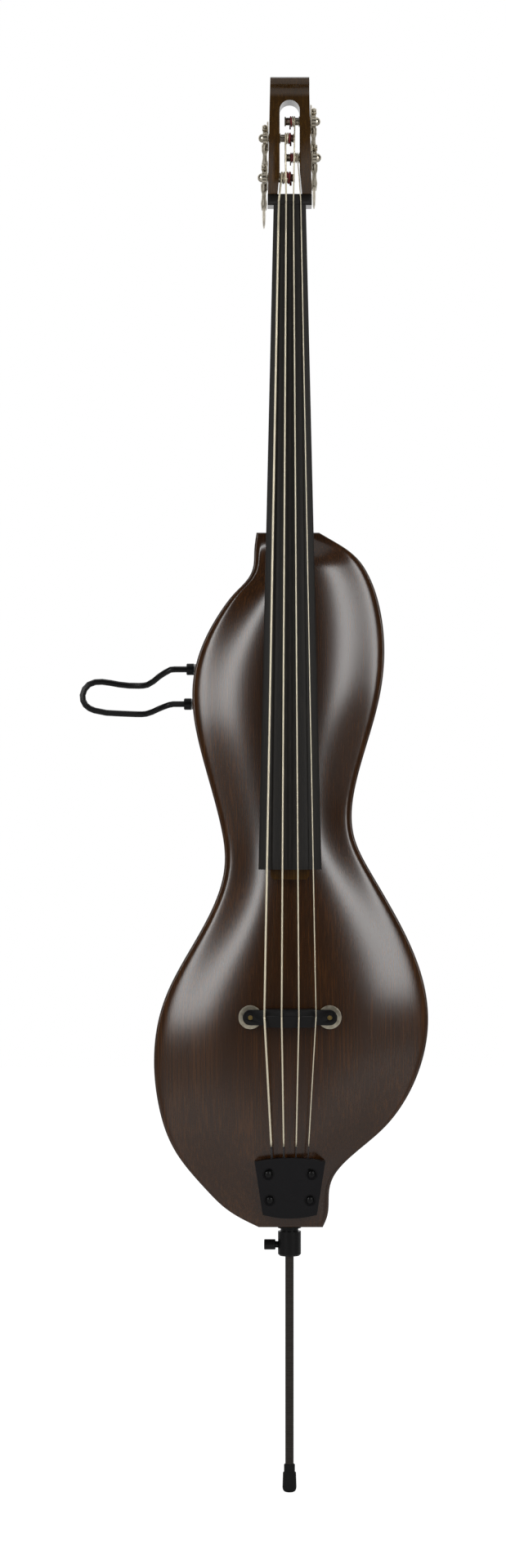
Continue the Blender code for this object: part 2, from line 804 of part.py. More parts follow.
def stadium_slot():
    """The string slot, round at its upper end, cut from front to back."""
    low, high = NUT_Z + NUT_ABOVE - GAP, NUT_Z + SLOT_TOP
    flare = SLOT_HALF + SLOT_FLARE
    bend = low + SLOT_FLARE_RUN
    outline = [(-SLOT_HALF, bend), (-flare, low), (flare, low), (SLOT_HALF, bend)]
    for step in range(13):
        angle = math.pi * step / 12
        outline.append((SLOT_HALF * math.cos(angle), high - SLOT_HALF + SLOT_HALF * math.sin(angle)))
    return plate("string_slot", outline, "Y", (0, -0.015, 0), 0.12, None)


def stiffener(name, grow, finish):
    """The steel bar in the neck, along the back of the fingerboard."""
    rings = []
    for z in (BOARD_END_Z + STIFFENER_END - grow, BOARD_TOP_Z - STIFFENER_END / 2 + grow):
        half = STIFFENER_HALF + grow
        front = board_back(z) + 2 * GAP - 6 * grow
        back = board_back(z) + 2 * GAP + STIFFENER_DEPTH + grow
        rings.append([(-half, front, z), (half, front, z), (half, back, z), (-half, back, z)])
    return loft(name, rings, finish)


def make_fingerboard():
    rings = []
    for z in (BOARD_END_Z, BOARD_TOP_Z):
        half = board_half(z)
        ring = [(half, board_back(z), z), (-half, board_back(z), z)]
        for step in range(11):
            x = mix(-half, half, step / 10)
            ring.append((x, board_face(z) + crown(x), z))
        rings.append(ring)
    loft("fingerboard", rings, "ebony")


def make_nut():
    """The nut, crowned like the strings, falling back above the line where they leave it."""
    rings = []
    seat = NUT_Y + STRING_RADII[1] + GAP
    for step in range(9):
        x = mix(-NUT_HALF, NUT_HALF, step / 8)
        sink = crown(x)
        rings.append([
            (x, NUT_BACK_Y, NUT_Z - NUT_BELOW),
            (x, seat + 0.0010 + sink, NUT_Z - NUT_BELOW),
            (x, seat + 0.0003 + sink, NUT_Z),
            (x, min(seat + 0.0055 + sink, NUT_BACK_Y - 0.001), NUT_Z + NUT_ABOVE),
            (x, NUT_BACK_Y, NUT_Z + NUT_ABOVE),
        ])
    loft("nut", rings, "ebony")


# Tuning machines

def machine_frame(index):
    """Places of one tuning machine: side, post centre, cheek, down-shaft and across directions."""
    side, y, z = post_place(index)
    share = (z - PLATE_DOWN - NUT_Z) / HEAD_TOP
    cheek = side * (mix(HEAD_HALF_LOW, HEAD_HALF_HIGH, max(share, 0)) + GAP)
    down = Vector((0, math.sin(KEY_TILT), -math.cos(KEY_TILT)))
    across = Vector((0, math.cos(KEY_TILT), math.sin(KEY_TILT)))
    return side, Vector((0, y, z)), cheek, down, across


def gear_x(side, cheek):
    return cheek + side * (PLATE_THICKNESS + 2 * GAP + GEAR_THICKNESS / 2)


def make_machine(index):
    side, centre, cheek, down, across = machine_frame(index)
    number = index + 1
    make_plate(number, side, centre, cheek, down, across)
    make_bushing(number, side, centre, cheek)
    make_post(number, side, centre, cheek)
    make_key(number, side, centre, cheek, down, across)


def make_plate(number, side, centre, cheek, down, across):
    outline = []
    middle = ((PLATE_BACK - PLATE_FRONT) / 2, (PLATE_DOWN - PLATE_UP) / 2)
    half = ((PLATE_BACK + PLATE_FRONT) / 2, (PLATE_DOWN + PLATE_UP) / 2)
    for back, low in rounded_rectangle(middle, half, PLATE_CORNER, 3):
        place = centre + across * back + down * low
        outline.append((place.y, place.z))
    base = plate(
        f"tuner_plate_{number}", outline, "X", (cheek + side * PLATE_THICKNESS / 2, 0, 0), PLATE_THICKNESS,
        "nickel"
    )
    worm = gear_x(side, cheek)
    top = worm + side * (WORM_RADIUS + 0.0008)
    for end, way in enumerate((-1, 1)):
        outline = []
        for back, low in (
            (-LUG_HALF, 0), (LUG_HALF, 0), (LUG_HALF, LUG_THICKNESS), (-LUG_HALF, LUG_THICKNESS)
        ):
            place = centre + across * (WORM_OFFSET + back) + down * way * (LUG_INNER + low)
            outline.append((place.y, place.z))
        start = cheek + side * PLATE_THICKNESS / 2
        lug = plate(f"lug_{number}_{end}", outline, "X", ((start + top) / 2, 0, 0), abs(top - start), None)
        join(base, lug)
    shaft_line = centre + across * WORM_OFFSET + Vector((worm, 0, 0))
    cut(base, cylinder(
        f"lug_bore_{number}", SHAFT_RADIUS + GAP, shaft_line - down * 0.03, shaft_line + down * 0.03, None, 16
    ))
    cut(base, cylinder(
        f"post_hole_{number}", JOURNAL_RADIUS + GAP, centre, centre + Vector((side * 0.06, 0, 0)), None
    ))
    return base


def make_bushing(number, side, centre, cheek):
    inner = SLOT_HALF - GAP
    outer = abs(cheek) - GAP
    bore = JOURNAL_RADIUS + GAP
    profile = [
        (bore, outer), (BUSHING_RADIUS, outer), (BUSHING_RADIUS, inner),
        (BUSHING_FLANGE_RADIUS, inner), (BUSHING_FLANGE_RADIUS - 0.0012, inner - BUSHING_FLANGE),
        (bore, inner - BUSHING_FLANGE),
    ]
    turned(f"tuner_bushing_{number}", profile, centre, (side, 0, 0), "nickel", 20, ring=True)


def make_post(number, side, centre, cheek):
    """String post, gear wheel and domed cap, which turn as one."""
    gear_low = abs(cheek) + PLATE_THICKNESS + 2 * GAP
    gear_high = gear_low + GEAR_THICKNESS
    shoulder = SLOT_HALF - BUSHING_FLANGE - 2 * GAP
    tip = SLOT_HALF - POST_REACH
    profile = [(0, gear_high + DOME_HEIGHT)]
    for step in range(1, 5):
        angle = math.pi / 2 * step / 4
        profile.append((DOME_RADIUS * math.sin(angle), gear_high + DOME_HEIGHT * math.cos(angle)))
    profile += [
        (JOURNAL_RADIUS, gear_high - 0.001), (JOURNAL_RADIUS, shoulder), (POST_RADIUS, shoulder),
        (POST_RADIUS, tip + POST_FLARE), (POST_FLARE_RADIUS, tip + 0.6 * POST_FLARE),
        (POST_FLARE_RADIUS - 0.0006, tip), (0, tip),
    ]
    post = turned(f"tuner_post_{number}", profile, centre, (side, 0, 0), "nickel", 16)
    outline = []
    for tooth in range(GEAR_TEETH):
        for radius, share in ((GEAR_ROOT_RADIUS, 0.0), (GEAR_RADIUS, 0.30), (GEAR_RADIUS, 0.55)):
            angle = math.tau * (tooth + share) / GEAR_TEETH
            outline.append((centre.y + radius * math.cos(angle), centre.z + radius * math.sin(angle)))
    middle = (side * (gear_low + gear_high) / 2, 0, 0)
    join(post, plate(f"gear_{number}", outline, "X", middle, GEAR_THICKNESS, None))
    return post


def make_key(number, side, centre, cheek, down, across):
    """Worm, shaft and leaf-shaped key, which turn as one about the worm's axis."""
    base = centre + across * WORM_OFFSET + Vector((gear_x(side, cheek), 0, 0))
    lug_end = LUG_INNER + LUG_THICKNESS
    profile = [
        (0, lug_end + GAP + 0.0030), (0.0020, lug_end + GAP + 0.0026), (0.0027, lug_end + GAP),
        (SHAFT_RADIUS, lug_end + GAP), (SHAFT_RADIUS, LUG_INNER - GAP), (WORM_RADIUS, LUG_INNER - GAP),
        (WORM_RADIUS, GAP - LUG_INNER), (SHAFT_RADIUS, GAP - LUG_INNER), (SHAFT_RADIUS, -lug_end - GAP),
        (0.0027, -lug_end - GAP), (0.0027, -PLATE_DOWN - GAP), (KEY_HUB_RADIUS, -0.017),
        (KEY_HUB_RADIUS, -0.026), (0.0028, -0.031),
        (0.0030, -0.038), (KEY_HUB_RADIUS, -KEY_HUB_END), (0.0032, -0.056), (0, -0.058),
    ]
    key = turned(f"tuner_key_{number}", profile, base, -down, "nickel", 12)
    bm = bmesh.new()
    bmesh.ops.create_uvsphere(bm, u_segments=12, v_segments=8, radius=1.0)
    length = (KEY_END - KEY_HUB_END) / 2
    size = (KEY_HALF_THICKNESS, KEY_HALF_WIDTH, length)
    bmesh.ops.scale(bm, vec=size, verts=bm.verts)
    leaf = mesh_object(f"leaf_{number}", bm, None, smooth=60)
    leaf.location = base + down * (KEY_HUB_END + length)
    leaf.rotation_mode = "QUATERNION"
    leaf.rotation_quaternion = Vector((0, 0, 1)).rotation_difference(-down)
    join(key, leaf)
    return key


# Strings

def string_route(index):
    """Points along one string and the radius share at each, from its ball end to its last turn."""
    radius = STRING_RADII[index]
    ball = BALL_RADIUS / radius
    tail_x = string_x(index, TAIL_SPACING)
    ridge_x = string_x(index, BRIDGE_SPACING)
    nut_x = string_x(index, NUT_SPACING)
    ridge = Vector((ridge_x, BRIDGE_Y + crown(ridge_x), RIDGE_Z))
    nut = Vector((nut_x, NUT_Y + crown(nut_x), NUT_Z))
    tail = Vector((tail_x, TAIL_STRING_Y, BODY_Z + TAIL_TOP))
    into = (tail - ridge).normalized()
    anchor = tail + into * BALL_SINK
    points = [anchor + into * BALL_LENGTH, anchor, anchor - into * 0.0004, tail, ridge, nut]
    shares = [ball, ball, 1.0, 1.0, 1.0, 1.0]
    turns, least = winding(index, nut)
    return points + turns, shares + [1.0] * len(turns), least


def winding(index, nut):
    """The turns on the post: the straight string meets them at the post's front."""
    side, y, z = post_place(index)
    radius = STRING_RADII[index]
    wound = POST_RADIUS + GAP + radius
    back, up = y - nut.y, z - nut.z
    first = math.acos(wound / math.hypot(back, up)) - math.atan2(up, back)
    last = math.pi + TURNS[index] * math.tau
    pitch = 2 * radius + TURN_GAP
    count = math.ceil((last - first) / math.tau * TURN_POINTS)
    points = []
    for step in range(count + 1):
        angle = mix(first, last, step / count)
        x = TURN_START[index] - side * pitch * (angle - first) / math.tau
        points.append(Vector((x, y - wound * math.cos(angle), z + wound * math.sin(angle))))
    points.append(points[-1] - Vector((0, 0, STRING_TAIL)))
    return points, least_gap([nut + (points[0] - nut) * s / 20 for s in range(10, 20)] + points, radius)


def least_gap(points, radius):
    """Least distance between stretches of one tube that aren't neighbours along it."""
    places = np.array([tuple(p) for p in points])
    reach = TURN_POINTS // 2
    apart = [
        np.linalg.norm(places[first + reach:] - places[first], axis=1).min()
        for first in range(len(places) - reach)
    ]
    return min(apart) - 2 * radius


def make_strings():
    for index, name in enumerate(STRING_NAMES):
        points, shares, least = string_route(index)
        tube(name, points, STRING_RADII[index], "wound_steel", 1, shares)
        print(f"{name}: least gap between turns {least * 1000:.2f} mm")


# Bridge

def wheel_base_y():
    return face(STUD_X, STUD_Z) - WHEEL_LIFT


def make_bridge(top, block):
    wheel_back = wheel_base_y()
    wheel_front = wheel_back - WHEEL_THICKNESS
    lug_back = wheel_front - GAP
    lug_front = lug_back - LUG_HEIGHT
    bridge = make_beam(lug_back)
    for side, name in ((-1, "bass"), (1, "treble")):
        x = side * STUD_X
        lug_x = side * (BEAM_HALF_LENGTH - 0.006)
        outline = [(lug_x, STUD_Z - LUG_RADIUS), (lug_x, STUD_Z + LUG_RADIUS)]
        for step in range(13):
            angle = math.pi / 2 - math.pi * step / 12
            outline.append((x + side * LUG_RADIUS * math.cos(angle), STUD_Z + LUG_RADIUS * math.sin(angle)))
        middle = (0, (lug_back + lug_front) / 2, 0)
        join(bridge, plate(f"bridge_lug_{name}", outline, "Y", middle, LUG_HEIGHT, None))
        hole = cylinder(
            f"stud_hole_{name}", STUD_RADIUS + GAP, (x, lug_front - 0.05, STUD_Z), (x, 0, STUD_Z), None, 20
        )
        cut(bridge, hole)
        cut(top, hole)
        stud_end = face(STUD_X, STUD_Z) + STUD_DEPTH
        cut(block, cylinder(
            f"stud_seat_{name}", STUD_RADIUS + GAP, (x, lug_front, STUD_Z), (x, stud_end + GAP, STUD_Z),
            None, 20
        ))
        foot = (x, stud_end, STUD_Z)
        cylinder(f"bridge_stud_{name}", STUD_RADIUS, (x, lug_front + 0.001, STUD_Z), foot, "steel", 16)
        bore = STUD_RADIUS + GAP
        rim = WHEEL_RADIUS
        profile = [
            (bore, WHEEL_THICKNESS), (rim - 0.0006, WHEEL_THICKNESS), (rim, WHEEL_THICKNESS - 0.0006),
            (rim, 0.0006), (rim - 0.0006, 0), (bore, 0),
        ]
        turned(f"height_wheel_{name}", profile, (x, wheel_back, STUD_Z), (0, -1, 0), "nickel", 32, ring=True)
    groove = pickup_box("pickup_groove", lug_back, GAP, None)
    cut(bridge, groove)
    pickup_box("pickup_strip", lug_back, 0.0, "black_plastic")


def beam_base_y(lug_back):
    return lug_back + 0.0015


def make_beam(lug_back):
    """The beam of the bridge: crowned under the strings, with a ridge that they rest on."""
    base = beam_base_y(lug_back)
    rings = []
    for step in range(9):
        x = mix(-BEAM_HALF_LENGTH, BEAM_HALF_LENGTH, step / 8)
        ridge = BRIDGE_Y + crown(x) + STRING_RADII[0] + GAP
        shoulder = ridge + BEAM_SHOULDER
        rings.append([
            (x, base, STUD_Z - BEAM_HALF_HEIGHT), (x, shoulder, STUD_Z - BEAM_HALF_HEIGHT),
            (x, ridge + 0.0012, RIDGE_Z - 0.0022), (x, ridge, RIDGE_Z),
            (x, ridge + 0.0006, RIDGE_Z + RIDGE_HALF),
            (x, shoulder, STUD_Z + BEAM_HALF_HEIGHT), (x, base, STUD_Z + BEAM_HALF_HEIGHT),
        ])
    return loft("bridge", rings, "black_metal", smooth=25)


def pickup_box(name, lug_back, grow, finish):
    """The pickup strip in the underside of the beam."""
    base = beam_base_y(lug_back)
    front = base - PICKUP_THICKNESS - 2 * GAP - grow
    low = (-PICKUP_HALF_LENGTH - grow, front, RIDGE_Z - PICKUP_HALF_WIDTH - grow)
    high = (PICKUP_HALF_LENGTH + grow, base - 2 * GAP + 10 * grow, RIDGE_Z + PICKUP_HALF_WIDTH + grow)
    return box(name, low, high, finish)


# Tailpiece

def tail_front(x, z):
    share = (z - BODY_Z - TAIL_BOTTOM) / (TAIL_TOP - TAIL_BOTTOM)
    return mix(TAIL_FRONT_LOW_Y, TAIL_FRONT_HIGH_Y, share)


def tail_place(u, v):
    half = mix(TAIL_HALF_LOW, TAIL_HALF_HIGH, v)
    bulge = TAIL_CROWN * (1 - u**2)
    low, high = BODY_Z + TAIL_BOTTOM - bulge, BODY_Z + TAIL_TOP + bulge
    return u * half, mix(low, high, v)


def make_tailpiece(top, block):
    def seat(x, z):
        return face(x, z) - ARCH_GAP

    shares = [step / 6 for step in range(7)]
    columns = [mix(-1, 1, s) for s in shares]
    piece = slab("tailpiece", columns, shares, tail_place, tail_front, seat, "black_plastic", 25)
    for index, name in enumerate(STRING_NAMES):
        points = string_route(index)[0]
        inner, anchor, outer = points[0], points[1], points[4]
        cut(piece, cylinder(f"tail_hole_{name}", STRING_RADII[index] + GAP, anchor, outer, None, 12))
        middle = (inner + anchor) / 2
        pocket = BALL_RADIUS + 2 * GAP
        cut(piece, cylinder(
            f"ball_pocket_{name}", pocket + 0.001, (middle.x, middle.y - pocket, middle.z),
            (middle.x, 0, middle.z), None, 16
        ))
    number = 0
    for x, height in TAIL_SCREWS:
        for side in (-1, 1):
            number += 1
            z = BODY_Z + height
            seat_y = tail_front(0, z) + TAIL_RECESS_DEPTH
            place = (side * x, seat_y, z)
            out = (side * x, seat_y - 0.02, z)
            inward = (side * x, seat_y + TAIL_SCREW_LENGTH + GAP, z)
            recess = cylinder(f"recess_{number}", TAIL_RECESS_RADIUS, place, out, None)
            hole = cylinder(f"screw_hole_{number}", TAIL_SCREW_SHANK + GAP, out, inward, None, 16)
            cut(piece, recess, hole)
            cut(top, hole)
            cut(block, hole)
            profile = [
                (0, TAIL_SCREW_HEIGHT), (0.6 * TAIL_SCREW_HEAD, 0.92 * TAIL_SCREW_HEIGHT),
                (TAIL_SCREW_HEAD, 0.35 * TAIL_SCREW_HEIGHT), (TAIL_SCREW_HEAD, 0), (TAIL_SCREW_SHANK, 0),
                (TAIL_SCREW_SHANK, -TAIL_SCREW_LENGTH), (0, -TAIL_SCREW_LENGTH),
            ]
            foot = (side * x, seat_y - GAP, z)
            turned(f"tail_screw_{number}", profile, foot, (0, -1, 0), "black_metal", 14)


# Endpin

def make_endpin():
    bore = ROD_RADIUS + GAP
    low = COLLAR_BOTTOM_Z
    flange = COLLAR_LENGTH - COLLAR_FLANGE
    groove = flange - COLLAR_GROOVE
    profile = [
        (bore, COLLAR_LENGTH), (COLLAR_RADIUS + 0.0002, COLLAR_LENGTH), (COLLAR_RADIUS + 0.0002, flange),
        (COLLAR_GROOVE_RADIUS, flange), (COLLAR_GROOVE_RADIUS, groove), (COLLAR_RADIUS, groove),
        (COLLAR_RADIUS, 0.0022), (COLLAR_RADIUS - 0.0022, 0), (bore, 0),
    ]
    collar = turned("endpin_collar", profile, (0, 0, low), (0, 0, 1), "black_metal", 24, ring=True)
    screw_z = low + SCREW_HEIGHT
    cut(collar, cylinder(
        "clamp_hole", SCREW_SHANK_RADIUS + GAP, (0, 0, screw_z), (-2 * COLLAR_RADIUS, 0, screw_z), None, 20
    ))
    knob = SCREW_KNOB_RADIUS
    profile = [
        (0, SCREW_KNOB_END), (knob - 0.0008, SCREW_KNOB_END), (knob, SCREW_KNOB_END - 0.0008),
        (knob, SCREW_KNOB_START + 0.0008), (knob - 0.0008, SCREW_KNOB_START),
        (SCREW_SHANK_RADIUS, SCREW_KNOB_START),
        (SCREW_SHANK_RADIUS, ROD_RADIUS + 3 * GAP), (0, ROD_RADIUS + GAP),
    ]
    turned("endpin_thumbscrew", profile, (0, 0, screw_z), (-1, 0, 0), "black_metal", 20)
    inner = FOOT_FLOOR + GAP
    cylinder("endpin_rod", ROD_RADIUS, (0, 0, inner), (0, 0, inner + ROD_LENGTH), "rod_steel")
    stop_z = FOOT_FLOOR + GAP + ROD_LENGTH - STOP_LENGTH - 0.002
    profile = [
        (bore, STOP_LENGTH), (ROD_RADIUS + STOP_WALL, STOP_LENGTH), (ROD_RADIUS + STOP_WALL, 0), (bore, 0),
    ]
    turned("rod_stop_ring", profile, (0, 0, stop_z), (0, 0, 1), "steel", 24, ring=True)
    profile = [
        (bore, TUBE_LENGTH - GAP), (ROD_RADIUS + TUBE_WALL + GAP, TUBE_LENGTH - GAP),
        (ROD_RADIUS + TUBE_WALL + GAP, 0), (bore, 0),
    ]
    turned("endpin_guide_tube", profile, (0, 0, BODY_Z), (0, 0, 1), "steel", 24, ring=True)
    make_foot(bore)


def make_foot(bore):
    profile = [
        (0, FOOT_FLOOR), (bore, FOOT_FLOOR), (bore, FOOT_HEIGHT),
        (FOOT_SLEEVE_RADIUS - 0.0006, FOOT_HEIGHT), (FOOT_SLEEVE_RADIUS, FOOT_HEIGHT - 0.0008),
        (FOOT_SLEEVE_RADIUS, FOOT_FLARE_HEIGHT + 0.001), (0.0086, FOOT_FLARE_HEIGHT), (FOOT_RADIUS, 0.0060),
        (0.0086, 0.0028), (0.0074, 0.0010), (FOOT_SOLE_RADIUS, 0), (0, 0),
    ]
    turned("rubber_foot", profile, (0, 0, 0), (0, 0, 1), "rubber", 24)


# Side rest

def socket_face_x(height):
    return -body_edges(BODY_Z + height)[0] - SOCKET_PROUD


def make_side_rest(rim):
    ends = []
    for height, name in ((REST_UPPER, "upper"), (REST_LOWER, "lower")):
        z = BODY_Z + height
        face_x = socket_face_x(height)
        inner_x = face_x + REST_INSERT + GAP
        bore = REST_RADIUS + GAP
        profile = [
            (bore, REST_INSERT + 0.003), (SOCKET_RADIUS, REST_INSERT + 0.003), (SOCKET_RADIUS, 0), (bore, 0),
        ]
        turned(f"rest_socket_{name}", profile, (face_x, 0, z), (1, 0, 0), "steel", 20, ring=True)
        cut(rim, cylinder(
            f"socket_hole_{name}", SOCKET_RADIUS + GAP, (face_x - 0.02, 0, z), (inner_x + 0.02, 0, z), None
        ))
        nut_x = face_x - GAP - LOCK_NUT_LENGTH
        radius = LOCK_NUT_RADIUS
        profile = [
            (bore, LOCK_NUT_LENGTH), (radius, LOCK_NUT_LENGTH), (radius, 0.0010), (radius - 0.0010, 0),
            (bore, 0),
        ]
        turned(f"rest_lock_nut_{name}", profile, (nut_x, 0, z), (1, 0, 0), "black_metal", 16, ring=True)
        ends.append(Vector((face_x + REST_INSERT, 0, z)))
    route = [Vector((x, y, BODY_Z + height)) for x, y, height in REST_ROUTE]
    upper, lower = ends
    points = [upper, Vector((route[0].x + 0.006, 0, upper.z))]
    points += smooth_route(route)
    points += [Vector((route[-1].x + 0.006, 0, lower.z)), lower]
    tube("side_rest", points, REST_RADIUS, "black_metal", 2)


def smooth_route(route):
    """Points on a smooth curve through the route, with REST_BENDS steps between its points."""
    stations = [0.0]
    for first, second in zip(route, route[1:]):
        stations.append(stations[-1] + (second - first).length)
    curves = [smooth_curve([(s, p[axis]) for s, p in zip(stations, route)]) for axis in range(3)]
    points = []
    for first, second in zip(stations, stations[1:]):
        shares = [mix(first, second, step / REST_BENDS) for step in range(REST_BENDS)]
        points += [Vector([c(share) for c in curves]) for share in shares]
    return points + [route[-1]]


# Controls, battery and output on the back

def make_controls(back):
    centre = (COVER_CENTRE[0], BODY_Z + COVER_CENTRE[1])
    opening = (COVER_HALF[0] - COVER_LAP, COVER_HALF[1] - COVER_LAP)
    outline = rounded_rectangle(centre, opening, 0.006)
    cut(back, plate("control_opening", outline, "Y", (0, BACK_Y, 0), 0.03, None))
    inner = BACK_Y + GAP
    cover = plate(
        "control_cover", rounded_rectangle(centre, COVER_HALF, 0.008), "Y",
        (0, inner + COVER_THICKNESS / 2, 0), COVER_THICKNESS, "black_plastic"
    )
    for name, dx, dz in KNOB_OFFSETS:
        spot = (centre[0] + dx, inner, centre[1] + dz)
        cut(cover, hole_through_cover(f"{name}_hole", spot, POT_BUSHING_RADIUS))
        make_pot(name, spot)
    spot = (centre[0] + JACK_OFFSET[0], inner, centre[1] + JACK_OFFSET[1])
    cut(cover, hole_through_cover("jack_hole", spot, JACK_BUSHING_RADIUS))
    make_jack(spot)
    make_board(centre)
    make_battery(back)


def hole_through_cover(name, spot, radius):
    x, y, z = spot
    return cylinder(name, radius + GAP, (x, y - 0.02, z), (x, y + 0.02, z), None, 20)


def make_pot(name, spot):
    x, y, z = spot
    face_y = y - GAP
    profile = [
        (0, POT_BUSHING + POT_SHAFT), (POT_SHAFT_RADIUS, POT_BUSHING + POT_SHAFT),
        (POT_SHAFT_RADIUS, POT_BUSHING),
        (POT_BUSHING_RADIUS, POT_BUSHING), (POT_BUSHING_RADIUS, 0), (POT_RADIUS, 0), (POT_RADIUS, -POT_DEPTH),
        (0, -POT_DEPTH),
    ]
    turned(f"{name}_pot", profile, (x, face_y, z), (0, 1, 0), "steel", 16)
    bore = POT_BUSHING_RADIUS + GAP
    depth = POT_BUSHING + POT_SHAFT - COVER_THICKNESS
    profile = [
        (0, KNOB_HEIGHT), (KNOB_RADIUS - 0.0012, KNOB_HEIGHT), (KNOB_RADIUS - 0.0004, KNOB_HEIGHT - 0.0010),
        (KNOB_RADIUS, 0), (bore, 0), (bore, depth), (0, depth),
    ]
    turned(f"{name}_knob", profile, (x, y + COVER_THICKNESS + 2 * GAP, z), (0, 1, 0), "black_plastic", 20)


def make_jack(spot):
    x, y, z = spot
    front = COVER_THICKNESS + JACK_PROUD
    profile = [
        (0, 0.003 - JACK_DEPTH), (JACK_BORE_RADIUS, 0.003 - JACK_DEPTH), (JACK_BORE_RADIUS, front),
        (JACK_BUSHING_RADIUS, front), (JACK_BUSHING_RADIUS, 0), (JACK_RADIUS, 0), (JACK_RADIUS, -JACK_DEPTH),
        (0, -JACK_DEPTH),
    ]
    turned("output_jack", profile, (x, y - GAP, z), (0, 1, 0), "nickel", 20)


def make_board(centre):
    """The preamp board, soldered to the backs of the two pots."""
    high = BACK_Y - POT_DEPTH - GAP
    z = centre[1] + KNOB_OFFSETS[0][2]
    box(
        "preamp_board", (centre[0] - BOARD_HALF[0], high - BOARD_THICKNESS, z - BOARD_HALF[1]),
        (centre[0] + BOARD_HALF[0], high, z + BOARD_HALF[1]), "circuit_board"
    )


def make_battery(back):
    x, z = BATTERY_CENTRE[0], BODY_Z + BATTERY_CENTRE[1]
    half_x, half_z = BATTERY_HALF
    front = BACK_Y - 2 * GAP
    box(
        "battery", (x - half_x, front - BATTERY_THICKNESS, z - half_z), (x + half_x, front, z + half_z),
        "battery_case", 0.0015
    )
    bay = (half_x + GAP, half_z + GAP)
    opening = (bay[0] + BAY_WALL + GAP, bay[1] + BAY_WALL + GAP)
    outline = rounded_rectangle((x, z), opening, 0.003)
    cut(back, plate("battery_opening", outline, "Y", (0, BACK_Y, 0), 0.03, None))
    inner = BACK_Y + GAP
    door = plate(
        "battery_door", rounded_rectangle((x, z), DOOR_HALF, 0.003), "Y", (0, inner + DOOR_THICKNESS / 2, 0),
        DOOR_THICKNESS, "black_plastic"
    )
    barrel_z = z - DOOR_HALF[1]
    barrel_y = inner + DOOR_BARREL + GAP
    join(door, cylinder(
        "door_barrel", DOOR_BARREL, (x - DOOR_HALF[0] + 0.004, barrel_y, barrel_z),
        (x + DOOR_HALF[0] - 0.004, barrel_y, barrel_z), None, 12
    ))


def main():
    clear_scene()
    top, rims, back, block = make_body()
    fit_neck(top, rims, block)
    fit_endpin(rims, block)
    make_neck()
    make_fingerboard()
    make_nut()
    for index in range(4):
        make_machine(index)
    make_strings()
    make_bridge(top, block)
    make_tailpiece(top, block)
    make_endpin()
    make_side_rest(rims[0])
    make_controls(back)


main()
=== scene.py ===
"""Looks of an electric double bass: finishes, strings, small screws, studio light and camera."""

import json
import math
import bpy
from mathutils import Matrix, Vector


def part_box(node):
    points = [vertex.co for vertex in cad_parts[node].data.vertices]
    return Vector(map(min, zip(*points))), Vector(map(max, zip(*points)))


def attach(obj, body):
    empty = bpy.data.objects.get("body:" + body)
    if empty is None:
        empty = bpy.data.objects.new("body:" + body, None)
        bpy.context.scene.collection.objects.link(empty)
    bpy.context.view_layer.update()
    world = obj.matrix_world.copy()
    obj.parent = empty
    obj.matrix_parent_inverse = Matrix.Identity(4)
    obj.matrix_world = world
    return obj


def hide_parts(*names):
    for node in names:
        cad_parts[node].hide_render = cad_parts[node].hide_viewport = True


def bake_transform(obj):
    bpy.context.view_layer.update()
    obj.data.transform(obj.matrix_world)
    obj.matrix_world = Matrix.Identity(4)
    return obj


bl_info = {
    "name": "Electric double bass looks",
    "version": (1, 0, 0),
    "blender": (4, 5, 0),
    "location": "View3D > Sidebar > Bass",
    "description": "Finishes and small pieces for an electric double bass",
    "category": "Object",
}

import bpy
import numpy as np
from mathutils import Vector

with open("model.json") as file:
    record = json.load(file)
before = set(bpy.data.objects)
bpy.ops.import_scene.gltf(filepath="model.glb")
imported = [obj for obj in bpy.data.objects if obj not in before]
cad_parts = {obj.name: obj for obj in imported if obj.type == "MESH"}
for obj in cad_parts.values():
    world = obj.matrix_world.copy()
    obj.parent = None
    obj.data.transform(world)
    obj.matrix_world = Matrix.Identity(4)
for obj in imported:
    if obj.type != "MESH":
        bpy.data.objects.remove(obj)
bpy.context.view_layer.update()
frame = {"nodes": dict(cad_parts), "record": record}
NODES = frame["nodes"]
NUMBERS = (1, 2, 3, 4)

# Where the strings lie, taken from the pieces that hold them
NUT_SHOULDER = 0.0104
NUT_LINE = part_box("nut")[1].z - NUT_SHOULDER
STRING_LENGTH = 1.050
RIDGE_LINE = NUT_LINE - STRING_LENGTH
STRINGS = ("string_e", "string_a", "string_d", "string_g")
STRING_RADII = (0.0014, 0.0011, 0.0009, 0.0007)
NUT_SPACING = 0.00945
BRIDGE_SPACING = 0.0220
TAIL_SPACING = 0.0153
CROWN_RADIUS = 0.070
NUT_Y = -0.045
BRIDGE_Y = -0.100
TAIL_Y = -0.055
GAP = 0.0003
POSTS = ((-1, -0.0240, 0.0333), (-1, -0.0140, 0.0863), (1, -0.0105, 0.1087), (1, -0.0180, 0.0603))
POST_RADIUS = 0.0050
TURNS = (3, 2, 2, 4)
TURN_START = (-0.0104, -0.0055, 0.0067, 0.0101)
TURN_GAP = 0.0006
TURN_POINTS = 36
SILK_TAIL = 0.009
LOWER_SILK = 0.020
SPAN_STEPS = 24
SILK_TURNS = (1.6, 1.4, 1.4, 1.9)
KEY_TILT = math.radians(42)
WORM_HALF = 0.0062
WORM_RADIUS = 0.0027
WORM_PITCH = 0.0022
WORM_OFFSET = 0.011
WORM_END = 0.0008
THREAD_RADIUS = 0.00035
THREAD_SINK = 0.0001
THREAD_STEPS = 20
GEAR_FROM_CHEEK = 0.0046
TAIL_BELOW_EDGE = 0.005
BALL_SINK = 0.0035
BALL_AHEAD = 0.003
BALL_RING_RADIUS = 0.0018
BALL_WIRE_RADIUS = 0.0011
SILK_PROUD = 1.02
TOP_SILK_PROUD = 1.03

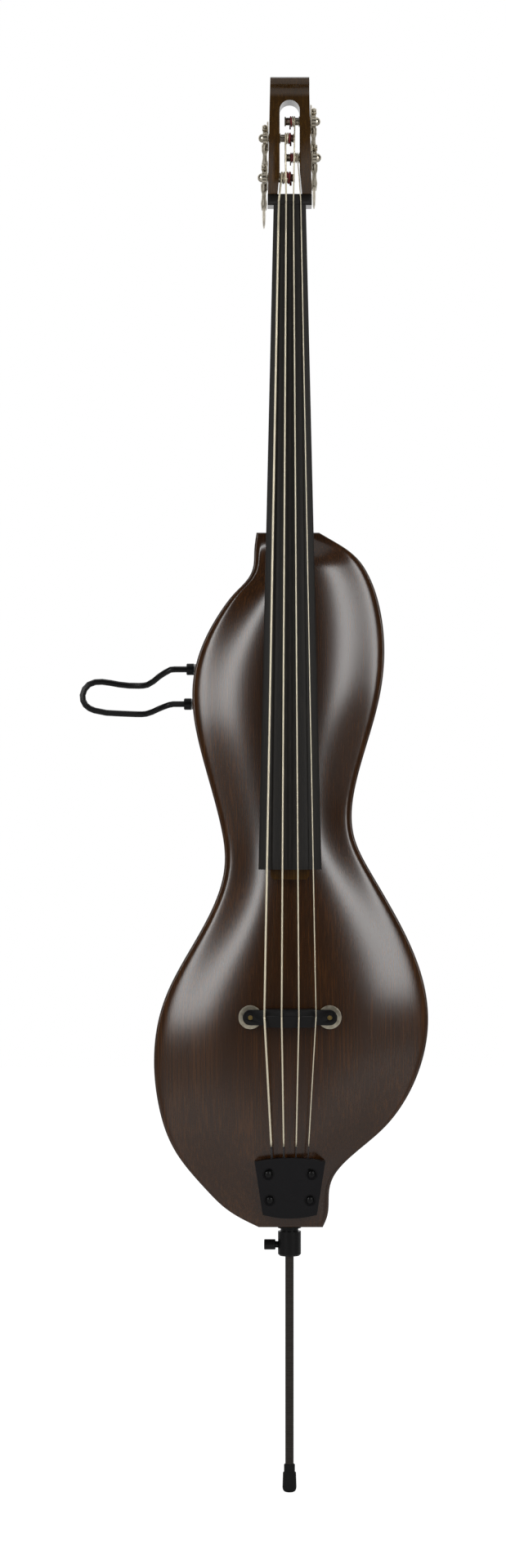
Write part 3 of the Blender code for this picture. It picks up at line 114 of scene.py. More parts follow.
# Plate screws: where they sit from the post's centre, across and down the plate
PLATE_SCREWS = ((-0.006, -0.012), (-0.006, 0.0108), (0.0145, -0.0135), (0.0045, -0.0135))
PLATE_THICKNESS = 0.0015
PLATE_SCREW_RADIUS = 0.0018
PLATE_SCREW_HEIGHT = 0.0011

# Screws and marks of the tailpiece and the controls
SOCKET_RADIUS = 0.0017
SOCKET_DEPTH = 0.0004
SOCKET_PROUD = 0.0001
COVER_SCREW_INSET = 0.006
COVER_SCREW_RADIUS = 0.0028
COVER_SCREW_HEIGHT = 0.0013
LINE_ABOVE_CENTRE = 0.005
LINE_SIZE = (0.0012, 0.0004, 0.006)
LINE_EDGE = 0.0001

# Fingerboard and the openings in the back
BOARD_CORNER = 0.0008
OPENINGS = (("control_cover", 0.007), ("battery_door", 0.0028))
OPENING_DEPTH = 0.046

# Camera and lamps
CAMERA_PLACE = (-0.0475, -4.700, 0.9227)
SIDE_BOX_PLACE = (2.0, -2.6, 1.8)
SIDE_BOX_SIZE = (0.45, 2.2)
TOP_BOX_PLACE = (0.0, -0.6, 3.6)
TOP_BOX_SIZE = (2.4, 2.4)
LIT_HEIGHT = 0.95
FLOOR_SIZE = 14
FLOOR_BELOW = 0.0005
FLOOR_WHITE = 1.3
FLOOR_SHARE = 0.8
FRONT_MIRRORED = 0.06

# Body: its edges as (height above the lower end, distance from the string axis), and its arch
BODY_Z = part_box("body_top")[0].z
BODY_TOP_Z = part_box("body_top")[1].z
BASS_EDGE = (
    (0.000, 0.040), (0.013, 0.066), (0.045, 0.105), (0.093, 0.145), (0.153, 0.169), (0.220, 0.176),
    (0.303, 0.1595), (0.379, 0.1185), (0.438, 0.091), (0.475, 0.0842), (0.522, 0.0897), (0.618, 0.1153),
    (0.697, 0.1263), (0.753, 0.1145), (0.803, 0.0875), (0.824, 0.071), (0.840, 0.0558), (0.858, 0.0473),
    (0.878, 0.046), (0.902, 0.043),
)
TREBLE_EDGE = (
    (0.000, 0.043), (0.013, 0.0485), (0.048, 0.0515), (0.069, 0.059), (0.092, 0.080), (0.125, 0.1185),
    (0.157, 0.145), (0.213, 0.171), (0.268, 0.1798), (0.323, 0.1725), (0.379, 0.151), (0.458, 0.107),
    (0.503, 0.085), (0.538, 0.0807), (0.570, 0.0848), (0.633, 0.102), (0.697, 0.1184), (0.745, 0.123),
    (0.803, 0.1173), (0.848, 0.1018), (0.881, 0.073), (0.895, 0.050), (0.902, 0.038),
)
HALF_DEPTH = 0.0225
EDGE_FLAT = 0.006
EDGE_ROUND = 0.003
ARCH_BASE = 0.014
ARCH_PER_WIDTH = 0.11
ARCH_FULLNESS = 1.25
TAIL_RUN = 0.080
NECK_RUN = 0.055


# Node and colour helpers

def linear(hex_colour):
    """An sRGB hex value as the linear colour that the shader wants."""
    parts = [int(hex_colour[i:i + 2], 16) / 255 for i in (1, 3, 5)]
    return (*(c / 12.92 if c <= 0.04045 else ((c + 0.055) / 1.055) ** 2.4 for c in parts), 1.0)


def node(tree, kind, settings=None, **inputs):
    """Adds a node with its properties (settings) and its values or links (inputs).

    An input is named by its socket, or by i and the socket's number.
    """
    made = tree.nodes.new(kind)
    for name, value in (settings or {}).items():
        setattr(made, name, value)
    for name, value in inputs.items():
        numbered_socket = name[0] == "i" and name[1:].isdigit()
        socket = made.inputs[int(name[1:]) if numbered_socket else name.replace("_", " ")]
        if isinstance(value, bpy.types.NodeSocket):
            tree.links.new(value, socket)
        else:
            socket.default_value = value
    return made


def new_material(name, **constants):
    """A material and its shader, with constants set on the shader's own sockets."""
    made = bpy.data.materials.new(name)
    made.use_nodes = True
    shader = made.node_tree.nodes["Principled BSDF"]
    for socket, value in constants.items():
        shader.inputs[socket.replace("_", " ")].default_value = value
    return made, made.node_tree, shader


def coordinates(tree, scale):
    """Object coordinates, scaled per axis so that one unit is one grain of a pattern."""
    place = node(tree, "ShaderNodeTexCoord").outputs["Object"]
    return node(tree, "ShaderNodeMapping", Vector=place, Scale=scale).outputs["Vector"]


def ramp(tree, fac, *stops):
    """A colour ramp through (position, hex colour) stops."""
    made = node(tree, "ShaderNodeValToRGB", Fac=fac)
    band = made.color_ramp
    while len(band.elements) < len(stops):
        band.elements.new(0.5)
    for element, (position, colour) in zip(band.elements, stops):
        element.position = position
        element.color = linear(colour)
    return made.outputs["Color"]


def noise(tree, scale, detail=3.0, roughness=0.5):
    """Noise from 0 to 1; scale is about the spots per metre along each axis."""
    place = coordinates(tree, scale)
    made = node(tree, "ShaderNodeTexNoise", Vector=place, Scale=1.0, Detail=detail, Roughness=roughness)
    return made.outputs["Fac"]


def vary_roughness(tree, shader, fac, low, high):
    """Lets a pattern move the roughness between low and high."""
    spread = node(tree, "ShaderNodeMapRange", Value=fac, To_Min=low, To_Max=high)
    tree.links.new(spread.outputs["Result"], shader.inputs["Roughness"])


def bump(tree, shader, height, distance, strength=1.0):
    """Raises a pattern by distance in metres."""
    made = node(tree, "ShaderNodeBump", Height=height, Distance=distance, Strength=strength)
    tree.links.new(made.outputs["Normal"], shader.inputs["Normal"])


# Materials

def lacquered_maple(name, dark, middle, light):
    """Stained maple under polished lacquer: soft-edged highlights, faint grain 2 mm wide along Z."""
    made, tree, shader = new_material(
        name, Roughness=0.5, Coat_Weight=1.0, Coat_Roughness=0.2, Coat_IOR=1.55, Specular_IOR_Level=0.0
    )
    grain = noise(tree, (500.0, 500.0, 9.0), 4.0, 0.6)
    cloud = noise(tree, (14.0, 14.0, 4.0), 2.0)
    mixed = node(tree, "ShaderNodeMath", {"operation": "MULTIPLY_ADD"}, i0=cloud, i1=0.6, i2=grain)
    colour = ramp(tree, mixed.outputs[0], (0.55, dark), (0.85, middle), (1.15, light))
    tree.links.new(colour, shader.inputs["Base Color"])
    bump(tree, shader, grain, 0.00003, 0.4)
    return made


def ebony(name, base, fleck):
    """Oiled ebony: nearly black, satin from handling, with fine pores along Z."""
    made, tree, shader = new_material(name, Roughness=0.45, Specular_IOR_Level=0.2)
    pores = noise(tree, (900.0, 900.0, 25.0), 3.0, 0.6)
    tree.links.new(ramp(tree, pores, (0.45, base), (0.7, fleck)), shader.inputs["Base Color"])
    vary_roughness(tree, shader, pores, 0.40, 0.56)
    bump(tree, shader, pores, 0.00004, 0.5)
    return made


def bare_spruce(name):
    """Planed spruce without a finish: pale, matte, with dark year rings 3 mm apart."""
    made, tree, shader = new_material(name, Roughness=0.75)
    rings = noise(tree, (330.0, 330.0, 4.0), 2.0)
    tree.links.new(ramp(tree, rings, (0.35, "#a98256"), (0.6, "#c9a877")), shader.inputs["Base Color"])
    return made


def plated(name, base, worn, roughness):
    """Nickel plate polished on brass: warm white metal with faint handling marks."""
    made, tree, shader = new_material(name, Metallic=1.0)
    marks = noise(tree, (160.0, 160.0, 160.0), 4.0, 0.6)
    tree.links.new(ramp(tree, marks, (0.35, worn), (0.6, base)), shader.inputs["Base Color"])
    vary_roughness(tree, shader, marks, roughness * 0.7, roughness * 1.5)
    return made


def coated_metal(name, base, worn, roughness):
    """Black powder-coated metal: satin, with a fine orange peel of half a millimetre."""
    made, tree, shader = new_material(name, Metallic=0.0, Specular_IOR_Level=0.22)
    peel = noise(tree, (1800.0, 1800.0, 1800.0), 2.0)
    tree.links.new(ramp(tree, peel, (0.3, base), (0.75, worn)), shader.inputs["Base Color"])
    vary_roughness(tree, shader, peel, roughness * 0.8, roughness * 1.25)
    bump(tree, shader, peel, 0.00003, 0.5)
    return made


def turned_steel(name, base, worn, roughness):
    """Steel from the lathe: fine rings across the axis, dark between them."""
    made, tree, shader = new_material(name, Metallic=1.0, Anisotropic=0.4)
    rings = noise(tree, (60.0, 60.0, 2500.0), 3.0)
    tree.links.new(ramp(tree, rings, (0.3, worn), (0.65, base)), shader.inputs["Base Color"])
    vary_roughness(tree, shader, rings, roughness * 0.8, roughness * 1.3)
    return made


def moulded(name, base, light, roughness):
    """Moulded plastic or rubber: one colour with a fine spark-eroded texture."""
    made, tree, shader = new_material(name, Specular_IOR_Level=0.18)
    texture = noise(tree, (2200.0, 2200.0, 2200.0), 2.0)
    tree.links.new(ramp(tree, texture, (0.3, base), (0.8, light)), shader.inputs["Base Color"])
    vary_roughness(tree, shader, texture, roughness * 0.85, roughness * 1.15)
    bump(tree, shader, texture, 0.00002, 0.6)
    return made


def flat_wound(name, base, painted_seam_shade, pitch_mm):
    """Ribbon wound on a core: bright bands pitch_mm apart with dark seams of painted shade, drawn wider than
    real.
    """
    made, tree, shader = new_material(name, Metallic=0.55, Roughness=0.34)
    bands = node(
        tree, "ShaderNodeTexWave", {"bands_direction": "Z", "wave_profile": "SAW"},
        Vector=coordinates(tree, (1.0, 1.0, 1000.0 / pitch_mm)), Scale=0.314, Distortion=0.0
    ).outputs["Fac"]
    # The darker colour at the start of each band is painted shade in the seam between windings.
    tree.links.new(ramp(tree, bands, (0.0, painted_seam_shade), (0.25, base), (1.0, base)), shader.inputs["Base Color"])
    bump(tree, shader, bands, 0.00005, 0.5)
    return made


def silk(name, base, light):
    """Silk thread wrapped over a string's end: soft, slightly fuzzy, 0.3 mm threads."""
    made, tree, shader = new_material(name, Roughness=0.6, Sheen_Weight=0.5, Sheen_Roughness=0.4)
    thread = noise(tree, (2500.0, 2500.0, 3500.0), 2.0)
    tree.links.new(ramp(tree, thread, (0.3, base), (0.75, light)), shader.inputs["Base Color"])
    bump(tree, shader, thread, 0.00008, 0.8)
    return made


# Mesh helpers

def deselect():
    for thing in list(bpy.context.selected_objects):
        thing.select_set(False)


def activate(thing):
    deselect()
    thing.select_set(True)
    bpy.context.view_layer.objects.active = thing


def finish_piece(thing, name, material, body, angle=None):
    """Puts a piece's place into its mesh, cleans it and gives it its finish and body.

    A piece that runs between two bodies has no body here.
    """
    activate(thing)
    if thing.type != "MESH":
        bpy.ops.object.convert(target="MESH")
        thing = bpy.context.view_layer.objects.active
    bpy.ops.object.transform_apply(location=True, rotation=True, scale=True)
    bpy.ops.object.mode_set(mode="EDIT")
    bpy.ops.mesh.select_all(action="SELECT")
    bpy.ops.mesh.remove_doubles(threshold=0.000002)
    bpy.ops.mesh.normals_make_consistent(inside=False)
    bpy.ops.object.mode_set(mode="OBJECT")
    if angle is None:
        bpy.ops.object.shade_smooth()
    else:
        bpy.ops.object.shade_smooth_by_angle(angle=math.radians(angle))
    thing.name = name
    thing.data.name = name
    thing.data.materials.clear()
    thing.data.materials.append(material)
    if body:
        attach(thing, body)
    return thing


def wire(points, radius, sides=3):
    """A round tube along points, as a filled curve."""
    curve = bpy.data.curves.new("wire", "CURVE")
    curve.dimensions = "3D"
    curve.bevel_depth = radius
    curve.bevel_resolution = sides
    curve.use_fill_caps = True
    spline = curve.splines.new("POLY")
    spline.points.add(len(points) - 1)
    for point, place in zip(spline.points, points):
        point.co = (*place, 1)
    thing = bpy.data.objects.new("wire", curve)
    bpy.context.scene.collection.objects.link(thing)
    return thing


def slotted_screw(name, place, axis, radius, height, material, body):
    """A round-headed screw with a cross slot: a bevelled cylinder with two thin cuts."""
    deselect()
    middle = (0, 0, height / 2)
    bpy.ops.mesh.primitive_cylinder_add(vertices=32, radius=radius, depth=height, location=middle)
    head = bpy.context.object
    edge = head.modifiers.new("edge", "BEVEL")
    edge.width = height * 0.35
    edge.segments = 3
    bpy.ops.object.modifier_apply(modifier=edge.name)
    for turn in (0, 90):
        bpy.ops.mesh.primitive_cube_add(size=1, location=(0, 0, height))
        blade = bpy.context.object
        blade.scale = (radius * 1.2, radius * 0.22, height * 0.9)
        blade.rotation_euler.z = math.radians(turn)
        cut = head.modifiers.new("slot", "BOOLEAN")
        cut.object = blade
        cut.operation = "DIFFERENCE"
        activate(head)
        bpy.ops.object.modifier_apply(modifier=cut.name)
        bpy.data.objects.remove(blade, do_unlink=True)
    head.rotation_mode = "QUATERNION"
    head.rotation_quaternion = Vector((0, 0, 1)).rotation_difference(Vector(axis))
    head.location = place
    return finish_piece(head, name, material, body, 35)


def paint(material, *names):
    """Gives CAD nodes a material."""
    for name in names:
        for holder in NODES[name].material_slots:
            holder.material = material
        if not NODES[name].material_slots:
            NODES[name].data.materials.append(material)


def numbered(name):
    return [f"{name}_{number}" for number in NUMBERS]


def block_between(name, columns, rows, place, front, back):
    """A closed piece between two surfaces y(x, z): a fine grid, extruded from one to the other."""
    deselect()
    bpy.ops.mesh.primitive_grid_add(x_subdivisions=columns, y_subdivisions=rows, size=2)
    thing = bpy.context.object
    thing.name = name
    spots = [place(v.co.x, (v.co.y + 1) / 2) for v in thing.data.vertices]
    for v, (x, z) in zip(thing.data.vertices, spots):
        v.co = (x, front(x, z), z)
    bpy.ops.object.mode_set(mode="EDIT")
    bpy.ops.mesh.select_all(action="SELECT")
    bpy.ops.mesh.extrude_region_move()
    bpy.ops.object.mode_set(mode="OBJECT")
    for v in thing.data.vertices:
        if v.select:
            v.co.y = back(v.co.x, v.co.z)
    return thing


def smooth_copy(name, material, body, angle=38, edge=0.0):
    """A merged, smooth-shaded copy that stands for a CAD node, its edges broken by edge."""
    deselect()
    source = NODES[name]
    copy = source.copy()
    copy.data = source.data.copy()
    bpy.context.scene.collection.objects.link(copy)
    activate(copy)
    bpy.ops.object.mode_set(mode="EDIT")
    bpy.ops.mesh.select_all(action="SELECT")
    bpy.ops.mesh.remove_doubles(threshold=0.000002)
    bpy.ops.mesh.dissolve_limited(angle_limit=math.radians(0.5))
    bpy.ops.object.mode_set(mode="OBJECT")
    if edge:
        step = copy.modifiers.new("edge", "BEVEL")
        step.width = edge
        step.segments = 2
        step.limit_method = "ANGLE"
        step.angle_limit = math.radians(angle)
        bpy.ops.object.modifier_apply(modifier=step.name)
    finish_piece(copy, f"{name}_smooth", material, body, angle)
    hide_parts(name)


def body_of(name):
    """The CAD body that a node rides on."""
    for body, nodes in frame["record"]["behaviour"]["bodies"].items():
        if name in nodes:
            return body
    raise KeyError(name)


def smooth(material, *names, angle=38, edge=0.0):
    """Puts smooth copies in the place of several CAD nodes."""
    for name in names:
        smooth_copy(name, material, body_of(name), angle, edge)


def cut_away(thing, cutter):
    """Cuts cutter out of thing and removes it."""
    step = thing.modifiers.new("cut", "BOOLEAN")
    step.object = cutter
    step.operation = "DIFFERENCE"
    activate(thing)
    bpy.ops.object.modifier_apply(modifier=step.name)
    bpy.data.objects.remove(cutter, do_unlink=True)


# The body's shape

def smooth_curve(stations):
    """A natural cubic spline through (position, value) stations."""
    at, value = np.array(stations).T
    step = np.diff(at)
    count = len(at)
    system = np.eye(count)
    right = np.zeros(count)
    for i in range(1, count - 1):
        system[i, i - 1:i + 2] = step[i - 1], 2 * (step[i - 1] + step[i]), step[i]
        right[i] = 6 * ((value[i + 1] - value[i]) / step[i] - (value[i] - value[i - 1]) / step[i - 1])
    bend = np.linalg.solve(system, right)

    def evaluate(position):
        i = int(np.clip(np.searchsorted(at, position) - 1, 0, count - 2))
        low, high = (at[i + 1] - position) / step[i], (position - at[i]) / step[i]
        curved = (low**3 - low) * bend[i] + (high**3 - high) * bend[i + 1]
        return float(low * value[i] + high * value[i + 1] + curved * step[i]**2 / 6)

    return evaluate


BASS_CURVE = smooth_curve(BASS_EDGE)
TREBLE_CURVE = smooth_curve(TREBLE_EDGE)


def body_edges(z):
    station = min(max(z - BODY_Z, 0.0), BASS_EDGE[-1][0])
    return BASS_CURVE(station), TREBLE_CURVE(station)


def edge_fall(x, z, bass, treble):
    """How far the rounded edge has fallen back at a point of the body's outline."""
    side = (treble if x > 0 else bass) - abs(x)
    near = max(min(side, z - BODY_Z, BODY_TOP_Z - z), 0.0)
    if near >= EDGE_ROUND:
        return 0.0
    return EDGE_ROUND - math.sqrt(EDGE_ROUND**2 - (EDGE_ROUND - near) ** 2)


def body_face(x, z):
    """Y of the arched face."""
    bass, treble = body_edges(z)
    rise = 1.0
    for distance, run in ((z - BODY_Z, TAIL_RUN), (BODY_TOP_Z - z, NECK_RUN)):
        climb = min(max((distance - EDGE_FLAT) / run, 0.0), 1.0)
        rise *= 1 - (1 - climb) ** 2.2
    crest = (ARCH_BASE + ARCH_PER_WIDTH * (bass + treble) / 2) * rise
    reach = (treble if x > 0 else bass) - EDGE_FLAT
    share = min(abs(x) / reach, 1.0)
    return -HALF_DEPTH - crest * (1 - share**2) ** ARCH_FULLNESS + edge_fall(x, z, bass, treble)


def body_back(x, z):
    return HALF_DEPTH - edge_fall(x, z, *body_edges(z))


def on_body(u, v):
    """Grid place to x and z, closer together towards the outline."""
    z = BODY_Z + (BODY_TOP_Z - BODY_Z) * (1 - math.cos(math.pi * v)) / 2
    bass, treble = body_edges(z)
    return math.sin(math.pi / 2 * u) * (treble if u > 0 else bass), z


# Settings

class BassFinishSettings(bpy.types.PropertyGroup):
    """Colours of the finishes, as sRGB hex values."""

    lacquer_dark: bpy.props.StringProperty(
        name="Lacquer, dark", description="Darkest grain of the stained maple", default="#291504"
    )
    lacquer_middle: bpy.props.StringProperty(
        name="Lacquer, middle", description="Middle colour of the stained maple", default="#351d07"
    )
    lacquer_light: bpy.props.StringProperty(
        name="Lacquer, light", description="Lightest grain of the stained maple", default="#45280d"
    )
    ebony_base: bpy.props.StringProperty(
        name="Ebony", description="Colour of the fingerboard and the nut", default="#1c1a18"
    )
    nickel_base: bpy.props.StringProperty(
        name="Nickel", description="Colour of the plated pieces", default="#cfc7b6"
    )
    silk_base: bpy.props.StringProperty(
        name="Silk", description="Colour of the silk at the upper string ends", default="#640404"
    )


class BassStudioSettings(bpy.types.PropertyGroup):
    """Camera and lights."""

    lens: bpy.props.FloatProperty(
        name="Lens", description="Focal length for a 36 mm sensor", default=82.76, unit="CAMERA"
    )
    side_light: bpy.props.FloatProperty(
        name="Side lights", description="Power of each tall soft box", default=30.0, unit="POWER"
    )
    top_light: bpy.props.FloatProperty(
        name="Top light", description="Power of the overhead soft box", default=12.0, unit="POWER"
    )
    fill: bpy.props.FloatProperty(
        name="Fill", description="Brightness of the room on the object", default=0.30, min=0, max=1
    )


# Operators

class BASS_OT_body(bpy.types.Operator):
    """Lacquer the body and leave its block bare"""

    bl_idname = "bass.body"
    bl_label = "Body"

    def execute(self, context):
        look = context.scene.bass_finish
        lacquer = lacquered_maple(
            "maple_stained_lacquered", look.lacquer_dark, look.lacquer_middle, look.lacquer_light
        )
        paint(lacquer, "body_top", "rim_bass_side", "rim_treble_side", "body_back")
        shell = block_between("body_shell", 72, 190, on_body, body_face, body_back)
        for cover, lap in OPENINGS:
            low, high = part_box(cover)
            middle = (low + high) / 2
            bpy.ops.mesh.primitive_cube_add(size=1, location=(middle.x, HALF_DEPTH, middle.z))
            pocket = bpy.context.object
            pocket.scale = (high.x - low.x - 2 * lap, OPENING_DEPTH, high.z - low.z - 2 * lap)
            cut_away(shell, pocket)
        finish_piece(shell, "body_shell", lacquer, "instrument", 35)
        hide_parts("body_top", "rim_bass_side", "rim_treble_side", "body_back")
        paint(bare_spruce("spruce_planed"), "centre_block")
        return {"FINISHED"}


class BASS_OT_neck(bpy.types.Operator):
    """Finish the neck, fingerboard and nut"""

    bl_idname = "bass.neck"
    bl_label = "Neck"

    def execute(self, context):
        look = context.scene.bass_finish
        maple = lacquered_maple("maple_neck_lacquered", "#2c1a02", "#3b2505", "#4a300b")
        smooth(maple, "neck", angle=40)
        wood = ebony("ebony_oiled", look.ebony_base, "#26231f")
        smooth(wood, "nut", angle=30, edge=0.0003)
        self.fingerboard(wood)
        paint(turned_steel("steel_drawn", "#8a8a8a", "#6a6a6a", 0.4), "stiffening_rod")
        return {"FINISHED"}

    def fingerboard(self, wood):
        """The crowned board, flat behind, with its corners just broken."""
        low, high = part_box("fingerboard")
        corners = [v.co for v in NODES["fingerboard"].data.vertices]
        ends = [[c for c in corners if abs(c.z - z) < 0.0005] for z in (low.z, high.z)]
        halves = [max(abs(c.x) for c in end) for end in ends]
        fronts = [min(c.y for c in end) for end in ends]
        backs = [max(c.y for c in end) for end in ends]

        def share(z):
            return (z - low.z) / (high.z - low.z)

        def place(u, v):
            z = low.z + (high.z - low.z) * v
            return math.sin(math.pi / 2 * u) * (halves[0] + (halves[1] - halves[0]) * v), z

        def front(x, z):
            half = halves[0] + (halves[1] - halves[0]) * share(z)
            inside = max(BOARD_CORNER - min(half - abs(x), z - low.z), 0.0)
            fall = BOARD_CORNER - math.sqrt(BOARD_CORNER**2 - inside**2)
            return fronts[0] + (fronts[1] - fronts[0]) * share(z) + x**2 / (2 * CROWN_RADIUS) + fall

        def back(x, z):
            return backs[0] + (backs[1] - backs[0]) * share(z)

        board = block_between("board", 40, 90, place, front, back)
        finish_piece(board, "fingerboard_surface", wood, "instrument", 40)
        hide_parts("fingerboard")


class BASS_OT_machines(bpy.types.Operator):
    """Plate the tuning machines and add their worm threads and screws"""

    bl_idname = "bass.machines"
    bl_label = "Tuning machines"

    def execute(self, context):
        nickel = plated("nickel_polished", context.scene.bass_finish.nickel_base, "#a39a88", 0.22)
        paint(nickel, *numbered("tuner_bushing"))
        smooth(nickel, *numbered("tuner_plate"), angle=30, edge=0.00025)
        smooth(nickel, *numbered("tuner_key"), *numbered("tuner_post"))
        down = Vector((0, math.sin(KEY_TILT), -math.cos(KEY_TILT)))
        across = Vector((0, math.cos(KEY_TILT), math.sin(KEY_TILT)))
        for number, (side, y, height) in zip(NUMBERS, POSTS):
            centre = Vector((0, y, NUT_LINE + height))
            low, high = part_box(f"tuner_plate_{number}")
            cheek = low.x if side > 0 else high.x
            base = centre + across * WORM_OFFSET + Vector((cheek + side * GEAR_FROM_CHEEK, 0, 0))
            self.thread(number, base, down, nickel)
            outer = cheek + side * PLATE_THICKNESS
            for end, (back, drop) in enumerate(PLATE_SCREWS):
                place = centre + across * back + down * drop + Vector((outer, 0, 0))
                slotted_screw(
                    f"plate_screw_{number}_{end + 1}", place, (side, 0, 0), PLATE_SCREW_RADIUS,
                    PLATE_SCREW_HEIGHT, nickel, "instrument"
                )
        return {"FINISHED"}

    def thread(self, number, base, down, nickel):
        """The worm's thread, a wire wound on its cylinder."""
        turns = 2 * (WORM_HALF - WORM_END) / WORM_PITCH
        side = Vector((1, 0, 0))
        ahead = down.cross(side)
        count = int(turns * THREAD_STEPS)
        points = []
        for step in range(count + 1):
            angle = math.tau * turns * step / count
            along = -WORM_HALF + WORM_END + WORM_PITCH * turns * step / count
            outward = side * math.cos(angle) + ahead * math.sin(angle)
            points.append(base + down * along + outward * (WORM_RADIUS - THREAD_SINK))
        thread = wire(points, THREAD_RADIUS, 1)
        finish_piece(thread, f"worm_thread_{number}", nickel, f"key_{number}")


class BASS_OT_strings(bpy.types.Operator):
    """String the bass: wound strings with silk at both ends"""

    bl_idname = "bass.strings"
    bl_label = "Strings"

    def execute(self, context):
        # The second colour is painted shade for the seams between the windings.
        metal = flat_wound("steel_flat_wound", "#f4ead0", "#b8ab84", 1.2)
        upper = silk("silk_red", context.scene.bass_finish.silk_base, "#7c0d0a")
        lower = silk("silk_black", "#141214", "#2a2628")
        brass = plated("brass_turned", "#c0a468", "#94794a", 0.3)
        tail_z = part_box("tailpiece")[1].z - TAIL_BELOW_EDGE
        for index, name in enumerate(STRINGS):
            radius = STRING_RADII[index]
            ridge = self.crowned(index, BRIDGE_SPACING, BRIDGE_Y, RIDGE_LINE)
            nut = self.crowned(index, NUT_SPACING, NUT_Y, NUT_LINE)
            tail = Vector(((index - 1.5) * TAIL_SPACING, TAIL_Y, tail_z))
            toward = (ridge - tail).normalized()
            start = tail - toward * BALL_SINK
            silk_end = tail + toward * LOWER_SILK
            turns = self.winding(index, nut)
            wrapped = wire([start, silk_end], radius * SILK_PROUD)
            finish_piece(wrapped, f"{name}_lower_silk", lower, "instrument")
            plain = len(turns) - int(TURN_POINTS * SILK_TURNS[index])
            head_end = finish_piece(
                wire([nut] + turns[:plain + 1], radius), f"{name}_at_post", metal, "instrument"
            )
            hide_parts(name)
            spans = (("tail", silk_end, "instrument", "bridge"), ("speaking", nut, "instrument", "bridge"))
            for part, far, fixed, rising in spans:
                points = [far.lerp(ridge, step / SPAN_STEPS) for step in range(SPAN_STEPS + 1)]
                span = finish_piece(wire(points, radius), f"{name}_{part}", metal, None)
                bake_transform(span)
                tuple(far)
            wrapped = wire(turns[plain:], radius * TOP_SILK_PROUD)
            finish_piece(wrapped, f"{name}_upper_silk", upper, "instrument")
            self.ball(name, start - toward * BALL_AHEAD, brass)
        return {"FINISHED"}

    def crowned(self, index, spacing, y, z):
        x = (index - 1.5) * spacing
        return Vector((x, y + x**2 / (2 * CROWN_RADIUS), z))

    def winding(self, index, nut):
        """The turns on the post, from where the string first touches it."""
        side, y, height = POSTS[index]
        z = NUT_LINE + height
        radius = STRING_RADII[index]
        wound = POST_RADIUS + GAP + radius
        back, up = y - nut.y, z - nut.z
        first = math.acos(wound / math.hypot(back, up)) - math.atan2(up, back)
        last = math.pi + TURNS[index] * math.tau
        pitch = 2 * radius + TURN_GAP
        count = math.ceil((last - first) / math.tau * TURN_POINTS)
        points = []
        for step in range(count + 1):
            angle = first + (last - first) * step / count
            x = TURN_START[index] - side * pitch * (angle - first) / math.tau
            points.append(Vector((x, y - wound * math.cos(angle), z + wound * math.sin(angle))))
        points.append(points[-1] - Vector((0, 0, SILK_TAIL)))
        return points

    def ball(self, name, place, brass):
        """The turned brass ball end: a ring with rounded edges."""
        deselect()
        bpy.ops.mesh.primitive_torus_add(
            major_segments=24, minor_segments=10, major_radius=BALL_RING_RADIUS,
            minor_radius=BALL_WIRE_RADIUS, location=place
        )
        finish_piece(bpy.context.object, f"{name}_ball", brass, "instrument")


class BASS_OT_bridge(bpy.types.Operator):
    """Coat the bridge, plate its height wheels and finish its studs and pickup"""

    bl_idname = "bass.bridge"
    bl_label = "Bridge"

    def execute(self, context):
        black = coated_metal("aluminium_black_coated", "#0a0909", "#121111", 0.34)
        nickel = plated("nickel_satin", "#c8c0ad", "#aaa18e", 0.3)
        smooth(black, "bridge", angle=40, edge=0.0004)
        smooth(nickel, "height_wheel_bass", "height_wheel_treble", angle=30, edge=0.0002)
        stud = turned_steel("brass_stud", "#a08a58", "#7c693f", 0.35)
        paint(stud, "bridge_stud_bass", "bridge_stud_treble")
        paint(moulded("abs_pickup", "#101010", "#181818", 0.5), "pickup_strip")
        return {"FINISHED"}


class BASS_OT_tail(bpy.types.Operator):
    """Finish the tailpiece, its screws and the endpin"""

    bl_idname = "bass.tail"
    bl_label = "Tailpiece and endpin"

    def execute(self, context):
        composite = moulded("composite_black_satin", "#100f11", "#161517", 0.33)
        smooth(composite, "tailpiece", angle=35, edge=0.0008)
        black = coated_metal("steel_blackened", "#0a0a0a", "#131212", 0.3)
        smooth(black, "endpin_collar", "endpin_thumbscrew", *numbered("tail_screw"), angle=35)
        smooth(turned_steel("steel_dark_satin", "#4a4642", "#383430", 0.36), "endpin_rod")
        bright = turned_steel("steel_turned", "#9a9a98", "#7a7a78", 0.35)
        paint(bright, "endpin_guide_tube", "rod_stop_ring")
        smooth(moulded("rubber_black", "#121212", "#1c1c1c", 0.72), "rubber_foot")
        for number in NUMBERS:
            low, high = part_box(f"tail_screw_{number}")
            centre = (low + high) / 2
            deselect()
            place = (centre.x, low.y - SOCKET_PROUD, centre.z)
            bpy.ops.mesh.primitive_cylinder_add(
                vertices=6, radius=SOCKET_RADIUS, depth=SOCKET_DEPTH, location=place
            )
            socket = bpy.context.object
            socket.rotation_euler.x = math.radians(90)
            finish_piece(socket, f"tail_screw_socket_{number}", black, "instrument", 30)
        return {"FINISHED"}


class BASS_OT_rest(bpy.types.Operator):
    """Coat the side rest and its lock nuts"""

    bl_idname = "bass.rest"
    bl_label = "Side rest"

    def execute(self, context):
        bar = coated_metal("steel_bar_black", "#0a0a0a", "#131212", 0.3)
        smooth(bar, "side_rest", "rest_lock_nut_upper", "rest_lock_nut_lower", angle=30)
        steel = turned_steel("steel_socket", "#8f8f8d", "#70706e", 0.35)
        paint(steel, "rest_socket_upper", "rest_socket_lower")
        return {"FINISHED"}


